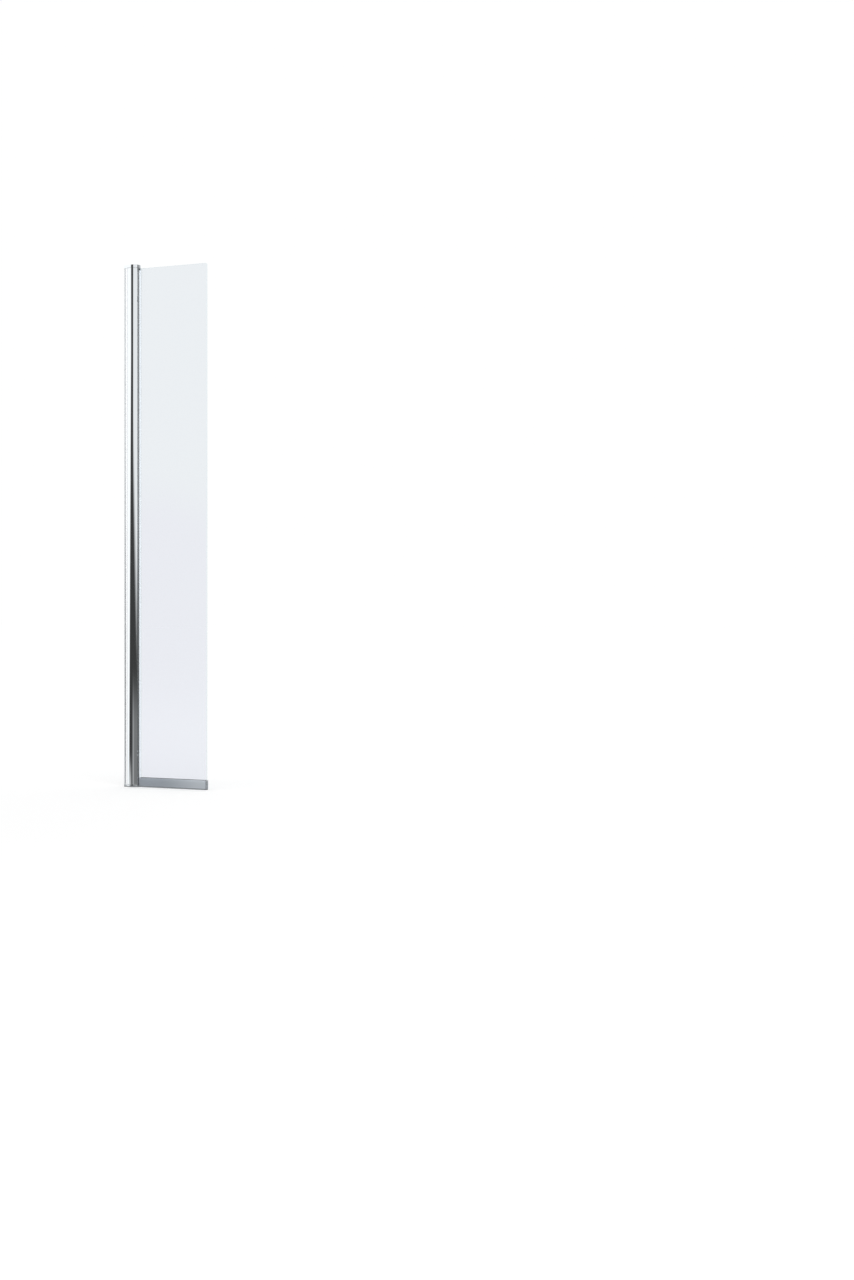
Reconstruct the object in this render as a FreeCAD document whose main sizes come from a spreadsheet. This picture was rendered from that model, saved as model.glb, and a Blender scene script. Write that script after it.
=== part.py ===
"""Pivoting bath screen: a glass pane in a round hinge tube that turns beside the wall.

The origin is on the hinge axis in the plane that the screen stands on. X runs along the pane away from
the wall, Y points to the wet side, Z is up. All lengths are millimetres.
"""

import FreeCAD, Part
import Sketcher
import math
import os

SIZES = (
    # the whole screen
    ("screen_height", 1500, "standing plane to the top of the cap"),
    ("screen_width", 270, "wall face to the free edge of the glass"),
    ("profile_width", 24, "across the wall channel, dry side to wet side"),
    ("wall_gap", 6, "wall face to the back of the hinge tube"),
    # hinge tube
    ("tube_radius", 20, "outside of the hinge tube"),
    ("tube_wall", 1.8, "wall of the hinge tube"),
    ("channel_wall", 1.6, "walls of the glazing channel"),
    ("rebate_half_width", 6.4, "half width of the rebate for the gasket lips"),
    ("rebate_depth", 1.6, "depth of that rebate at its edges"),
    ("jaw_wall", 2, "tube behind the rebate"),
    ("jaw_side", 1.3, "tube beside the rebate"),
    ("tube_port_back", 10.5, "screw ports of the tube, behind the axis"),
    ("port_radius", 1.2, "bore of every screw port"),
    ("port_wall", 1.1, "wall of every screw port"),
    # glass
    ("glass_thickness", 6, "toughened glass"),
    ("glass_top_gap", 0.6, "upper edge of the glass below the end of the tube"),
    ("glass_corner", 4, "radius of the free upper corner"),
    ("glass_arris", 0.6, "ground arris along the edges"),
    ("gasket_thickness", 1.7, "gasket between glass and tube"),
    ("gasket_inset", 0.2, "gasket lip below the round of the tube"),
    ("gasket_stop", 4.8, "gasket stops short of the upper end of the tube"),
    ("gasket_root", 0.6, "gasket starts in front of the glass edge"),
    ("block_thickness", 1.4, "setting blocks behind the glass edge"),
    ("block_height", 30, "length of a setting block"),
    ("block_margin", 45, "first block above the lower edge of the glass"),
    # wall channel and carrier
    ("channel_web", 1.8, "web of the wall channel"),
    ("channel_leg", 1.4, "legs of the wall channel"),
    ("short_leg", 3.2, "depth of the dry side leg"),
    ("slide_clearance", 0.2, "carrier to wall channel"),
    ("cradle_gap", 0.6, "carrier to hinge tube"),
    ("cradle_wall", 1.6, "wall of the carrier behind the tube"),
    ("carrier_wall", 1.4, "side walls of the carrier"),
    ("carrier_port_inset", 3, "screw ports of the carrier, in from its sides"),
    ("seal_inset", 1.8, "seal grooves, in from the carrier's sides"),
    ("seal_width", 1.2, "width of the seal grooves"),
    ("seal_depth", 1.2, "depth of the seal grooves"),
    ("seal_gap", 0.3, "seal strips to hinge tube"),
    ("fixing_radius", 2.5, "wall fixing holes"),
    ("fixing_margin", 82.2, "first and last fixing hole to the ends of the channel"),
    ("fixing_sink", 0.9, "depth and flare of their countersinks"),
    # screws along the post
    ("profile_screw_radius", 1.5, "shank of the carrier's fixing screws"),
    ("profile_screw_inset", 1.8, "their centre in front of the channel web"),
    ("profile_screw_length", 4.8, "their length under the head"),
    ("profile_screw_margin", 170, "first one above the foot, last one below the cap"),
    ("pan_head_radius", 2.9, "pan heads"),
    ("pan_head_height", 1.7, "pan heads"),
    ("cover_wall", 0.5, "snap-on covers over the pan heads"),
    # end brackets, cap and foot
    ("cap_height", 8.6, "top cap"),
    ("cap_overhang", 0.4, "cap and foot stand out past the tube"),
    ("cap_wall", 1.2, "side wall of the cap"),
    ("cap_top", 1.6, "top of the cap"),
    ("cap_round", 1.1, "rounded upper edge of the cap"),
    ("neck_round", 2, "blend between the round and the neck"),
    ("foot_height", 5.5, "bottom bracket"),
    ("foot_edge", 0.5, "chamfer round the bottom bracket"),
    ("pad_height", 1.5, "rubber pad under the foot"),
    ("pad_inset", 0.6, "pad inside the outline of the foot"),
    ("end_gap", 0.45, "end brackets to the turning screen"),
    # pivots
    ("pin_radius", 3, "pivot pins"),
    ("pin_head_radius", 4.5, "heads of the pivot pins"),
    ("pin_head_height", 1.5, "heads of the pivot pins"),
    ("pin_reach", 12, "pins past the face of the bracket"),
    ("pin_point", 0.5, "chamfer at the end of the pins"),
    ("running_fit", 0.05, "radial clearance of pin and bush"),
    ("bush_wall", 1.5, "wall of the bushes"),
    ("bush_length", 13, "length of the bushes"),
    ("bush_flange_radius", 7, "flange of the bushes"),
    ("bush_flange", 1, "thickness of the bush flange"),
    ("washer_radius", 9, "thrust washer"),
    ("washer_play", 0.05, "thrust washer to bush"),
    ("plug_flange", 1.2, "flange of the end plugs on the tube"),
    ("plug_depth", 12, "end plugs inside the tube"),
    ("plug_fit", 0.1, "end plugs to tube"),
    ("plug_land", 1.9, "end plugs in front of the bush"),
    # countersunk screws in the brackets and plugs
    ("bracket_sink", 1.5, "countersunk heads in the brackets"),
    ("screw_grip", 11, "countersunk screws in their ports"),
    ("recess_length", 1.5, "arms of the cross recess"),
    ("recess_width", 0.5, "width of the cross recess"),
    ("recess_depth", 0.8, "depth of the cross recess"),
    # bottom rail
    ("rail_height", 23.5, "rail without its seal"),
    ("chamber_height", 5, "chamber for the seal's bead"),
    ("rail_gasket_side", 2, "rail gasket beside the glass"),
    ("rail_wall", 1.5, "walls of the rail"),
    ("rail_floor", 3.5, "standing plane to the rail"),
    ("rail_gap", 1.5, "rail to the hinge tube"),
    ("rail_round", 0.8, "rounded long edges of the rail"),
    ("rail_slot", 1.8, "half width of the slot for the seal"),
    ("rail_gasket_floor", 1.5, "rail gasket under the glass"),
    ("rail_lip", 0.8, "height of the lips on the rail gasket"),
    ("rail_lip_cover", 0.6, "lips over the rail's walls"),
    ("inner_cap_thickness", 1.5, "cap at the tube end of the rail"),
    ("end_cap_thickness", 2, "cap at the free end of the rail"),
    ("cap_peg_length", 9, "pegs of the rail caps"),
    ("cap_clearance", 0.1, "rail caps to the glass, pegs to the chamber"),
    # wiper seal
    ("bead_height", 1.8, "bead of the seal in the rail"),
    ("bead_clearance", 0.3, "bead to the rail's chamber"),
    ("seal_plate", 0.9, "plate of the seal under the rail"),
    ("seal_plate_half", 4.6, "half width of that plate"),
    ("fin_spread", 1.4, "fins spread outwards"),
    ("fin_thickness", 0.9, "thickness of the fins"),
    ("fin_tip", 0.2, "standing plane to the tips of the fins"),
)

document = FreeCAD.newDocument("BathScreen")


class Size:
    """A length that keeps its value together with the expression that gives it."""

    def __init__(self, text, value):
        self.text = text
        self.value = value

    def __add__(self, other):
        other = as_size(other)
        return Size("(%s + %s)" % (self.text, other.text), self.value + other.value)

    def __sub__(self, other):
        other = as_size(other)
        return Size("(%s - %s)" % (self.text, other.text), self.value - other.value)

    def __rsub__(self, other):
        return as_size(other) - self

    def __mul__(self, other):
        other = as_size(other)
        return Size("(%s * %s)" % (self.text, other.text), self.value * other.value)

    def __truediv__(self, other):
        other = as_size(other)
        return Size("(%s / %s)" % (self.text, other.text), self.value / other.value)

    def __neg__(self):
        return as_size(0) - self

    __radd__ = __add__
    __rmul__ = __mul__


def as_size(number):
    return number if isinstance(number, Size) else Size(repr(number), number)


def root(size):
    return Size("sqrt(%s)" % size.text, math.sqrt(size.value))


def across(radius, side):
    """How far from the axis a circle of this radius is, at this distance beside the axis."""
    return root(radius * radius - side * side)


class Sheet:
    """The driving sizes, one named cell each, read as attributes."""

    def __init__(self, rows):
        cells = document.addObject("Spreadsheet::Sheet", "Sizes")
        self.sizes = {}
        for row, (name, value, note) in enumerate(rows, 1):
            cells.set("A%d" % row, note)
            cells.set("B%d" % row, str(value))
            cells.setAlias("B%d" % row, name)
            self.sizes[name] = Size("Sizes." + name, float(value))

    def __getattr__(self, name):
        return self.sizes[name]


size = Sheet(SIZES)
document.recompute()

# Places that follow from the sizes.

wall_x = -(size.tube_radius + size.wall_gap)
free_edge_x = wall_x + size.screen_width
half_profile = size.profile_width / 2
half_glass = size.glass_thickness / 2
channel_half_gap = half_glass + size.gasket_thickness

foot_top = size.pad_height + size.foot_height
cap_underside = size.screen_height - size.cap_height
profile_length = cap_underside - foot_top
tube_bottom = foot_top + size.end_gap + size.plug_flange
tube_top = cap_underside - size.end_gap - size.plug_flange

web_front = wall_x + size.channel_web
leg_inside = half_profile - size.channel_leg
carrier_half = leg_inside - size.slide_clearance
carrier_back = web_front + size.slide_clearance
cradle_radius = size.tube_radius + size.cradle_gap
cradle_back_radius = cradle_radius + size.cradle_wall
carrier_front = -across(cradle_radius, carrier_half)
port_boss_radius = size.port_radius + size.port_wall
carrier_port_x = carrier_back + port_boss_radius
carrier_port_side = carrier_half - size.carrier_port_inset
seal_side = carrier_half - size.seal_inset
seal_floor = -(across(cradle_radius, seal_side) + size.seal_depth)
fixing_spacing = (profile_length - size.fixing_margin * 2) / 3
profile_screw_x = web_front + size.profile_screw_inset
profile_screw_first = foot_top + size.profile_screw_margin
profile_screw_spacing = (profile_length - size.profile_screw_margin * 2) / 2

cap_radius = size.tube_radius + size.cap_overhang
bush_radius = size.pin_radius + size.running_fit + size.bush_wall
channel_back = bush_radius + size.plug_land
channel_seat = channel_back + size.channel_wall
tube_inside = size.tube_radius - size.tube_wall
tube_port_side = across(tube_inside - size.port_radius - size.port_wall / 2, size.tube_port_back)
rebate_floor = across(size.tube_radius, size.rebate_half_width) - size.rebate_depth

glass_edge_x = channel_seat + size.block_thickness
glass_top = tube_top - size.glass_top_gap
rail_start = size.tube_radius + size.rail_gap
rail_body_start = rail_start + size.inner_cap_thickness
rail_body_end = free_edge_x - size.end_cap_thickness
rail_top = size.rail_floor + size.rail_height
rail_inside = half_glass + size.rail_gasket_side
rail_half_width = rail_inside + size.rail_wall
chamber_floor = size.rail_floor + size.rail_wall
rail_web_bottom = chamber_floor + size.chamber_height
rail_web_top = rail_web_bottom + size.rail_wall
glass_bottom = rail_web_top + size.rail_gasket_floor
bead_top = chamber_floor + size.bead_height


# Sketches and features.


def sub_part(name):
    """An empty body whose label names the sub-part."""
    body = document.addObject("PartDesign::Body", name)
    body.Label = name
    body.Placement = FreeCAD.Placement()
    return body


def origin_feature(body, role):
    return [feature for feature in body.Origin.OriginFeatures if feature.Role == role][0]


def bind(thing, path, length):
    thing.setExpression(path, as_size(length).text)


def sketch_on(body, role, lift=0, right=0, up=0):
    """A sketch on an origin plane, moved along the plane's normal and within the plane.

    XY_Plane looks along +Z. XZ_Plane has X to the right, Z up and its normal along -Y.
    YZ_Plane has Y to the right, Z up and its normal along +X.
    """
    sketch = body.newObject("Sketcher::SketchObject", "Sketch")
    sketch.AttachmentSupport = [(origin_feature(body, role), "")]
    sketch.MapMode = "FlatFace"
    bind(sketch, "AttachmentOffset.Base.x", right)
    bind(sketch, "AttachmentOffset.Base.y", up)
    bind(sketch, "AttachmentOffset.Base.z", lift)
    return sketch


def constrain(sketch, kind, places, length):
    """A dimension on the sketch, bound to its size."""
    index = sketch.addConstraint(Sketcher.Constraint(kind, *places, length.value))
    bind(sketch, "Constraints[%d]" % index, length)


def outline(sketch, corners):
    """A closed outline. A corner is (right, up), or (right, up, radius, turn) where an arc leads on.

    The arc is centred on the sketch's origin; turn is 1 anticlockwise and -1 clockwise.
    """
    first = sketch.GeometryCount
    count = len(corners)
    starts = []
    ends = []
    for index, corner in enumerate(corners):
        begin = [as_size(value) for value in corner[:2]]
        finish = [as_size(value) for value in corners[(index + 1) % count][:2]]
        if len(corner) == 2:
            edge = Part.LineSegment(
                FreeCAD.Vector(begin[0].value, begin[1].value),
                FreeCAD.Vector(finish[0].value, finish[1].value),
            )
            starts.append(1)
            ends.append(2)
        else:
            radius, turn = as_size(corner[2]), corner[3]
            angles = [math.atan2(point[1].value, point[0].value) for point in (begin, finish)]
            low, high = angles if turn > 0 else reversed(angles)
            circle = Part.Circle(FreeCAD.Vector(), FreeCAD.Vector(0, 0, 1), radius.value)
            edge = Part.ArcOfCircle(circle, low, high if high > low else high + 2 * math.pi)
            starts.append(1 if turn > 0 else 2)
            ends.append(2 if turn > 0 else 1)
        sketch.addGeometry(edge)
    for index, corner in enumerate(corners):
        here = first + index
        before = first + (index - 1) % count
        sketch.addConstraint(
            Sketcher.Constraint("Coincident", before, ends[index - 1], here, starts[index])
        )
        constrain(sketch, "DistanceX", (-1, 1, here, starts[index]), as_size(corner[0]))
        constrain(sketch, "DistanceY", (-1, 1, here, starts[index]), as_size(corner[1]))
        if len(corner) > 2:
            constrain(sketch, "Radius", (here,), as_size(corner[2]))


def rectangle(sketch, left, low, right, high):
    outline(sketch, [(left, low), (right, low), (right, high), (left, high)])


def circle(sketch, right, up, radius):
    right, up, radius = as_size(right), as_size(up), as_size(radius)
    centre = FreeCAD.Vector(right.value, up.value)
    index = sketch.addGeometry(Part.Circle(centre, FreeCAD.Vector(0, 0, 1), radius.value))
    constrain(sketch, "Radius", (index,), radius)
    constrain(sketch, "DistanceX", (-1, 1, index, 3), right)
    constrain(sketch, "DistanceY", (-1, 1, index, 3), up)


def keyhole(sketch, radius, half_neck, back):
    """A round about the axis with a neck back to the wall."""
    meet = -across(radius, half_neck)
    outline(
        sketch,
        [(back, -half_neck), (meet, -half_neck, radius, 1), (meet, half_neck), (back, half_neck)],
    )


def feature(body, kind, sketch):
    made = body.newObject("PartDesign::" + kind, kind)
    made.Profile = sketch
    return made


def pad(body, sketch, length, way=1):
    """Material along the sketch's normal, or against it where way is -1."""
    made = feature(body, "Pad", sketch)
    bind(made, "Length", length)
    made.Reversed = way < 0
    return made


def check_cut(body, made, before):
    document.recompute()
    if not body.Shape.Volume < before - 1e-6:
        raise RuntimeError("%s of %s cuts nothing" % (made.Name, body.Label))


def pocket(body, sketch, depth, way=1):
    """A cut along the sketch's normal, or against it where way is -1."""
    document.recompute()
    before = body.Shape.Volume
    made = feature(body, "Pocket", sketch)
    bind(made, "Length", depth)
    made.Reversed = way > 0
    check_cut(body, made, before)
    return made


def turned(body, sketch, axis="V_Axis"):
    made = feature(body, "Revolution", sketch)
    made.ReferenceAxis = (sketch, [axis])
    made.Angle = 360
    return made


def turned_cut(body, sketch, axis="V_Axis"):
    document.recompute()
    before = body.Shape.Volume
    made = feature(body, "Groove", sketch)
    made.ReferenceAxis = (sketch, [axis])
    made.Angle = 360
    check_cut(body, made, before)
    return made


def in_a_row(body, originals, axis, spacing, count):
    """Copies of the features along an axis of the body."""
    document.recompute()
    row = body.newObject("PartDesign::LinearPattern", "Row")
    row.Originals = originals
    row.Direction = (origin_feature(body, axis), [""])
    row.Mode = "Spacing"
    row.Occurrences = count
    bind(row, "Offset", spacing)
    body.Tip = row
    document.recompute()


def mirrored(body, originals, role):
    """Copies of the features on the other side of an origin plane."""
    document.recompute()
    copies = body.newObject("PartDesign::Mirrored", "Mirrored")
    copies.Originals = originals
    copies.MirrorPlane = (origin_feature(body, role), [""])
    body.Tip = copies
    document.recompute()


def dress(body, kind, path, length, chosen):
    """A fillet or chamfer on the edges whose middle passes the test."""
    document.recompute()
    base = body.Tip
    names = []
    for index, edge in enumerate(base.Shape.Edges, 1):
        middle = edge.valueAt((edge.FirstParameter + edge.LastParameter) / 2)
        if chosen(edge, middle):
            names.append("Edge%d" % index)
    made = body.newObject("PartDesign::" + kind, kind)
    made.Base = (base, names)
    bind(made, path, length)
    document.recompute()


def near(number, length):
    return abs(number - as_size(length).value) < 1e-4


# Screws, pins and bushes.


class End:
    """One end of the hinge: the bracket's face towards the screen, and the way from there into it."""

    def __init__(self, name, face, way, bracket_height):
        self.name = name
        self.face = face
        self.way = way
        self.bracket_height = bracket_height
        self.outer_face = self.at(-bracket_height)
        self.screen_face = self.at(size.end_gap)
        self.tube_end = self.at(size.end_gap + size.plug_flange)

    def at(self, distance):
        """Height at this distance from the face, towards the screen."""
        return self.face + as_size(distance) * self.way


BOTTOM = End("bottom", foot_top, 1, size.foot_height)
TOP = End("top", cap_underside, -1, size.cap_height - size.cap_top)


def recess(body, role, lift, right, up, way):
    """A cross recess in a screw head."""
    sketch = sketch_on(body, role, lift, right, up)
    arm = size.recess_length
    half = size.recess_width / 2
    corners = []
    for first, second in ((1, 1), (-1, 1), (-1, -1), (1, -1)):
        if first == second:
            corners += [(arm * first, half * second), (half * first, half * second)]
            corners += [(half * first, arm * second)]
        else:
            corners += [(half * first, arm * second), (half * first, half * second)]
            corners += [(arm * first, half * second)]
    outline(sketch, corners)
    return pocket(body, sketch, size.recess_depth, way)


def sunk_screws(name, right, side, head, way, sink, length):
    """Two countersunk screws along Z, one each side of the pane's plane, with heads this deep."""
    body = sub_part(name)
    body.AllowCompound = True
    sketch = sketch_on(body, "XZ_Plane", side, right, head)
    point = length - size.port_radius
    outline(
        sketch,
        [
            (0, 0),
            (size.port_radius + sink, 0),
            (size.port_radius, sink * way),
            (size.port_radius, point * way),
            (0, length * way),
        ],
    )
    shank = turned(body, sketch)
    cross = recess(body, "XY_Plane", head, right, -side, way)
    mirrored(body, [shank, cross], "XZ_Plane")
    return body


def sunk_holes(body, right, side, head, way, sink, depth):
    """The two holes for such screws."""
    sketch = sketch_on(body, "XZ_Plane", side, right, head)
    outline(
        sketch,
        [
            (0, 0),
            (size.port_radius + sink, 0),
            (size.port_radius, sink * way),
            (size.port_radius, depth * way),
            (0, depth * way),
        ],
    )
    holes = turned_cut(body, sketch)
    mirrored(body, [holes], "XZ_Plane")


def pivot_pin(end):
    """A headed pin pressed in the bracket, its head in the bracket's outer face."""
    body = sub_part(end.name + "_pivot_pin")
    sketch = sketch_on(body, "XZ_Plane")
    head_inside = end.at(size.pin_head_height - end.bracket_height)
    outline(
        sketch,
        [
            (0, end.outer_face),
            (size.pin_head_radius, end.outer_face),
            (size.pin_head_radius, head_inside),
            (size.pin_radius, head_inside),
            (size.pin_radius, end.at(size.pin_reach - size.pin_point)),
            (size.pin_radius - size.pin_point, end.at(size.pin_reach)),
            (0, end.at(size.pin_reach)),
        ],
    )
    turned(body, sketch)
    return body


def bush(end):
    """A flanged bush in the end plug, turning on the pin."""
    body = sub_part(end.name + "_bush")
    sketch = sketch_on(body, "XZ_Plane")
    bore = size.pin_radius + size.running_fit
    flange_inside = end.at(size.end_gap + size.bush_flange)
    inner_end = end.at(size.end_gap + size.bush_length)
    outline(
        sketch,
        [
            (bore, end.screen_face),
            (size.bush_flange_radius, end.screen_face),
            (size.bush_flange_radius, flange_inside),
            (bush_radius, flange_inside),
            (bush_radius, inner_end),
            (bore, inner_end),
        ],
    )
    turned(body, sketch)
    return body


def end_plug(end):
    """A plug with a flange on the end of the tube, a seat for the bush and two screw holes."""
    body = sub_part(end.name + "_end_plug")
    flange = sketch_on(body, "XY_Plane", end.screen_face)
    circle(flange, 0, 0, size.tube_radius)
    pad(body, flange, size.plug_flange, end.way)

    inside = tube_inside - size.plug_fit
    front = channel_back - size.plug_fit
    side = across(inside, front)
    plug = sketch_on(body, "XY_Plane", end.tube_end)
    outline(plug, [(front, side, inside, 1), (front, -side)])
    pad(body, plug, size.plug_depth, end.way)

    clearances = sketch_on(body, "XY_Plane", end.tube_end)
    for sign in (1, -1):
        circle(
            clearances,
            -size.tube_port_back,
            tube_port_side * sign,
            port_boss_radius + size.plug_fit,
        )
    pocket(body, clearances, size.plug_depth, end.way)

    seat = sketch_on(body, "XY_Plane", end.screen_face)
    circle(seat, 0, 0, size.bush_flange_radius)
    pocket(body, seat, size.bush_flange, end.way)
    bore = sketch_on(body, "XY_Plane", end.screen_face)
    circle(bore, 0, 0, bush_radius)
    pocket(body, bore, size.plug_flange + size.plug_depth, end.way)

    sunk_holes(
        body,
        -size.tube_port_back,
        tube_port_side,
        end.screen_face,
        end.way,
        size.plug_flange,
        size.plug_flange + size.plug_depth,
    )
    return body


def plug_screws(end):
    return sunk_screws(
        end.name + "_plug_screws",
        -size.tube_port_back,
        tube_port_side,
        end.screen_face,
        end.way,
        size.plug_flange,
        size.plug_flange + size.screw_grip,
    )


def bracket_screws(end):
    return sunk_screws(
        end.name + "_bracket_screws",
        carrier_port_x,
        carrier_port_side,
        end.outer_face,
        end.way,
        size.bracket_sink,
        end.bracket_height + size.screw_grip,
    )


def bracket(end, inset, exposed):
    """A die-cast arm that reaches over the tube's end and carries the pivot pin."""
    body = sub_part(end.name + "_bracket")
    sketch = sketch_on(body, "XY_Plane", end.face)
    keyhole(sketch, cap_radius - inset, half_profile - inset, wall_x + inset)
    pad(body, sketch, end.bracket_height, -end.way)
    if exposed:
        blend_neck(body, cap_radius - inset, half_profile - inset)
        dress(
            body,
            "Chamfer",
            "Size",
            size.foot_edge,
            lambda edge, middle: near(middle.z, end.face) and middle.x > wall_x.value + 0.1,
        )
    bore = sketch_on(body, "XY_Plane", end.outer_face)
    circle(bore, 0, 0, size.pin_radius)
    pocket(body, bore, end.bracket_height, end.way)
    head = sketch_on(body, "XY_Plane", end.outer_face)
    circle(head, 0, 0, size.pin_head_radius)
    pocket(body, head, size.pin_head_height, end.way)
    sunk_holes(
        body,
        carrier_port_x,
        carrier_port_side,
        end.outer_face,
        end.way,
        size.bracket_sink,
        end.bracket_height,
    )
    return body


def blend_neck(body, radius, half_neck):
    """Round the two inner corners where the neck meets the round."""
    meet = -across(radius, half_neck)
    dress(
        body,
        "Fillet",
        "Radius",
        size.neck_round,
        lambda edge, middle: near(middle.x, meet) and near(abs(middle.y), half_neck),
    )


# The fixed post.


def wall_channel():
    """The channel on the wall: a short leg on the dry side, a long leg for the screws."""
    body = sub_part("wall_channel")
    section = sketch_on(body, "XY_Plane", foot_top)
    outline(
        section,
        [
            (wall_x, -half_profile),
            (wall_x + size.short_leg, -half_profile),
            (wall_x + size.short_leg, -leg_inside),
            (web_front, -leg_inside),
            (web_front, leg_inside),
            (carrier_front, leg_inside),
            (carrier_front, half_profile),
            (wall_x, half_profile),
        ],
    )
    pad(body, section, profile_length)

    hole = sketch_on(body, "XZ_Plane", 0, wall_x, foot_top + size.fixing_margin)
    outline(
        hole,
        [
            (0, 0),
            (size.channel_web, 0),
            (size.channel_web, size.fixing_radius + size.fixing_sink),
            (size.channel_web - size.fixing_sink, size.fixing_radius),
            (0, size.fixing_radius),
        ],
    )
    fixing = turned_cut(body, hole, "H_Axis")
    in_a_row(body, [fixing], "Z_Axis", fixing_spacing, 4)

    leg_hole = sketch_on(body, "XZ_Plane", -leg_inside)
    circle(leg_hole, profile_screw_x, profile_screw_first, size.profile_screw_radius)
    clearance = pocket(body, leg_hole, size.channel_leg, -1)
    in_a_row(body, [clearance], "Z_Axis", profile_screw_spacing, 3)
    return body


def carrier_profile():
    """The profile that slides in the channel and hugs the back of the tube."""
    body = sub_part("carrier_profile")
    wall_inside = carrier_half - size.carrier_wall
    section = sketch_on(body, "XY_Plane", foot_top)
    outline(
        section,
        [
            (carrier_back, -carrier_half),
            (carrier_front, -carrier_half, cradle_radius, -1),
            (carrier_front, carrier_half),
            (carrier_back, carrier_half),
            (carrier_back, wall_inside),
            (-across(cradle_back_radius, wall_inside), wall_inside, cradle_back_radius, 1),
            (-across(cradle_back_radius, wall_inside), -wall_inside),
            (carrier_back, -wall_inside),
        ],
    )
    pad(body, section, profile_length)

    bosses = sketch_on(body, "XY_Plane", foot_top)
    ports = sketch_on(body, "XY_Plane", foot_top)
    for sign in (1, -1):
        circle(bosses, carrier_port_x, carrier_port_side * sign, port_boss_radius)
        circle(ports, carrier_port_x, carrier_port_side * sign, size.port_radius)
    pad(body, bosses, profile_length)
    pocket(body, ports, profile_length)

    grooves = sketch_on(body, "XY_Plane", foot_top)
    for sign in (1, -1):
        low = seal_side * sign - size.seal_width / 2
        rectangle(grooves, seal_floor, low, carrier_front, low + size.seal_width)
    pocket(body, grooves, profile_length)

    screw_hole = sketch_on(body, "XZ_Plane", -carrier_half)
    circle(screw_hole, profile_screw_x, profile_screw_first, size.profile_screw_radius)
    depth = size.profile_screw_length - (half_profile - carrier_half)
    hole = pocket(body, screw_hole, depth)
    in_a_row(body, [hole], "Z_Axis", profile_screw_spacing, 3)
    return body


def tube_seal(name, sign):
    """A strip in the carrier's groove, just clear of the tube."""
    body = sub_part(name)
    radius = size.tube_radius + size.seal_gap
    low = seal_side * sign - size.seal_width / 2
    high = low + size.seal_width
    section = sketch_on(body, "XY_Plane", foot_top)
    outline(
        section,
        [
            (seal_floor, low),
            (-across(radius, low), low, radius, -1),
            (-across(radius, high), high),
            (seal_floor, high),
        ],
    )
    pad(body, section, profile_length)
    return body


def profile_screws():
    """Pan-head screws through the long leg into the carrier."""
    body = sub_part("profile_screws")
    body.AllowCompound = True
    sketch = sketch_on(body, "XY_Plane", profile_screw_first, profile_screw_x, half_profile)
    dome = size.pan_head_height / 2
    length = size.profile_screw_length
    outline(
        sketch,
        [
            (0, size.pan_head_height),
            (0, -length),
            (size.profile_screw_radius, size.profile_screw_radius / 2 - length),
            (size.profile_screw_radius, 0),
            (size.pan_head_radius, 0),
            (size.pan_head_radius, dome),
            (size.pan_head_radius - dome, size.pan_head_height),
        ],
    )
    screw = turned(body, sketch)
    cross = recess(
        body,
        "XZ_Plane",
        -(half_profile + size.pan_head_height),
        profile_screw_x,
        profile_screw_first,
        1,
    )
    in_a_row(body, [screw, cross], "Z_Axis", profile_screw_spacing, 3)
    return body


def screw_caps():
    """Domed covers that snap over the pan heads."""
    body = sub_part("screw_caps")
    body.AllowCompound = True
    sketch = sketch_on(body, "XY_Plane", profile_screw_first, profile_screw_x, half_profile)
    outer = size.pan_head_radius + size.cover_wall
    top = size.pan_head_height + size.cover_wall
    outline(
        sketch,
        [
            (size.pan_head_radius, 0),
            (outer, 0),
            (outer, size.pan_head_height),
            (size.pan_head_radius, top),
            (0, top),
            (0, size.pan_head_height),
            (size.pan_head_radius, size.pan_head_height),
        ],
    )
    cover = turned(body, sketch)
    in_a_row(body, [cover], "Z_Axis", profile_screw_spacing, 3)
    return body


def top_cap():
    """The chrome cover over the top bracket."""
    body = sub_part("top_cap")
    shell = sketch_on(body, "XY_Plane", cap_underside)
    keyhole(shell, cap_radius, half_profile, wall_x)
    pad(body, shell, size.cap_height)
    blend_neck(body, cap_radius, half_profile)
    dress(
        body,
        "Fillet",
        "Radius",
        size.cap_round,
        lambda edge, middle: near(middle.z, size.screen_height) and middle.x > wall_x.value + 0.1,
    )
    hollow = sketch_on(body, "XY_Plane", cap_underside)
    keyhole(
        hollow, cap_radius - size.cap_wall, half_profile - size.cap_wall, wall_x + size.cap_wall
    )
    pocket(body, hollow, TOP.bracket_height)
    return body


def foot_pad():
    """The rubber pad that the post stands on."""
    body = sub_part("foot_pad")
    sketch = sketch_on(body, "XY_Plane")
    keyhole(sketch, cap_radius - size.pad_inset, half_profile - size.pad_inset, wall_x)
    pad(body, sketch, size.pad_height)
    return body


def thrust_washer():
    body = sub_part("thrust_washer")
    sketch = sketch_on(body, "XY_Plane", foot_top)
    circle(sketch, 0, 0, size.washer_radius)
    circle(sketch, 0, 0, size.pin_radius)
    pad(body, sketch, size.end_gap - size.washer_play)
    return body


# The turning screen.


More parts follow.
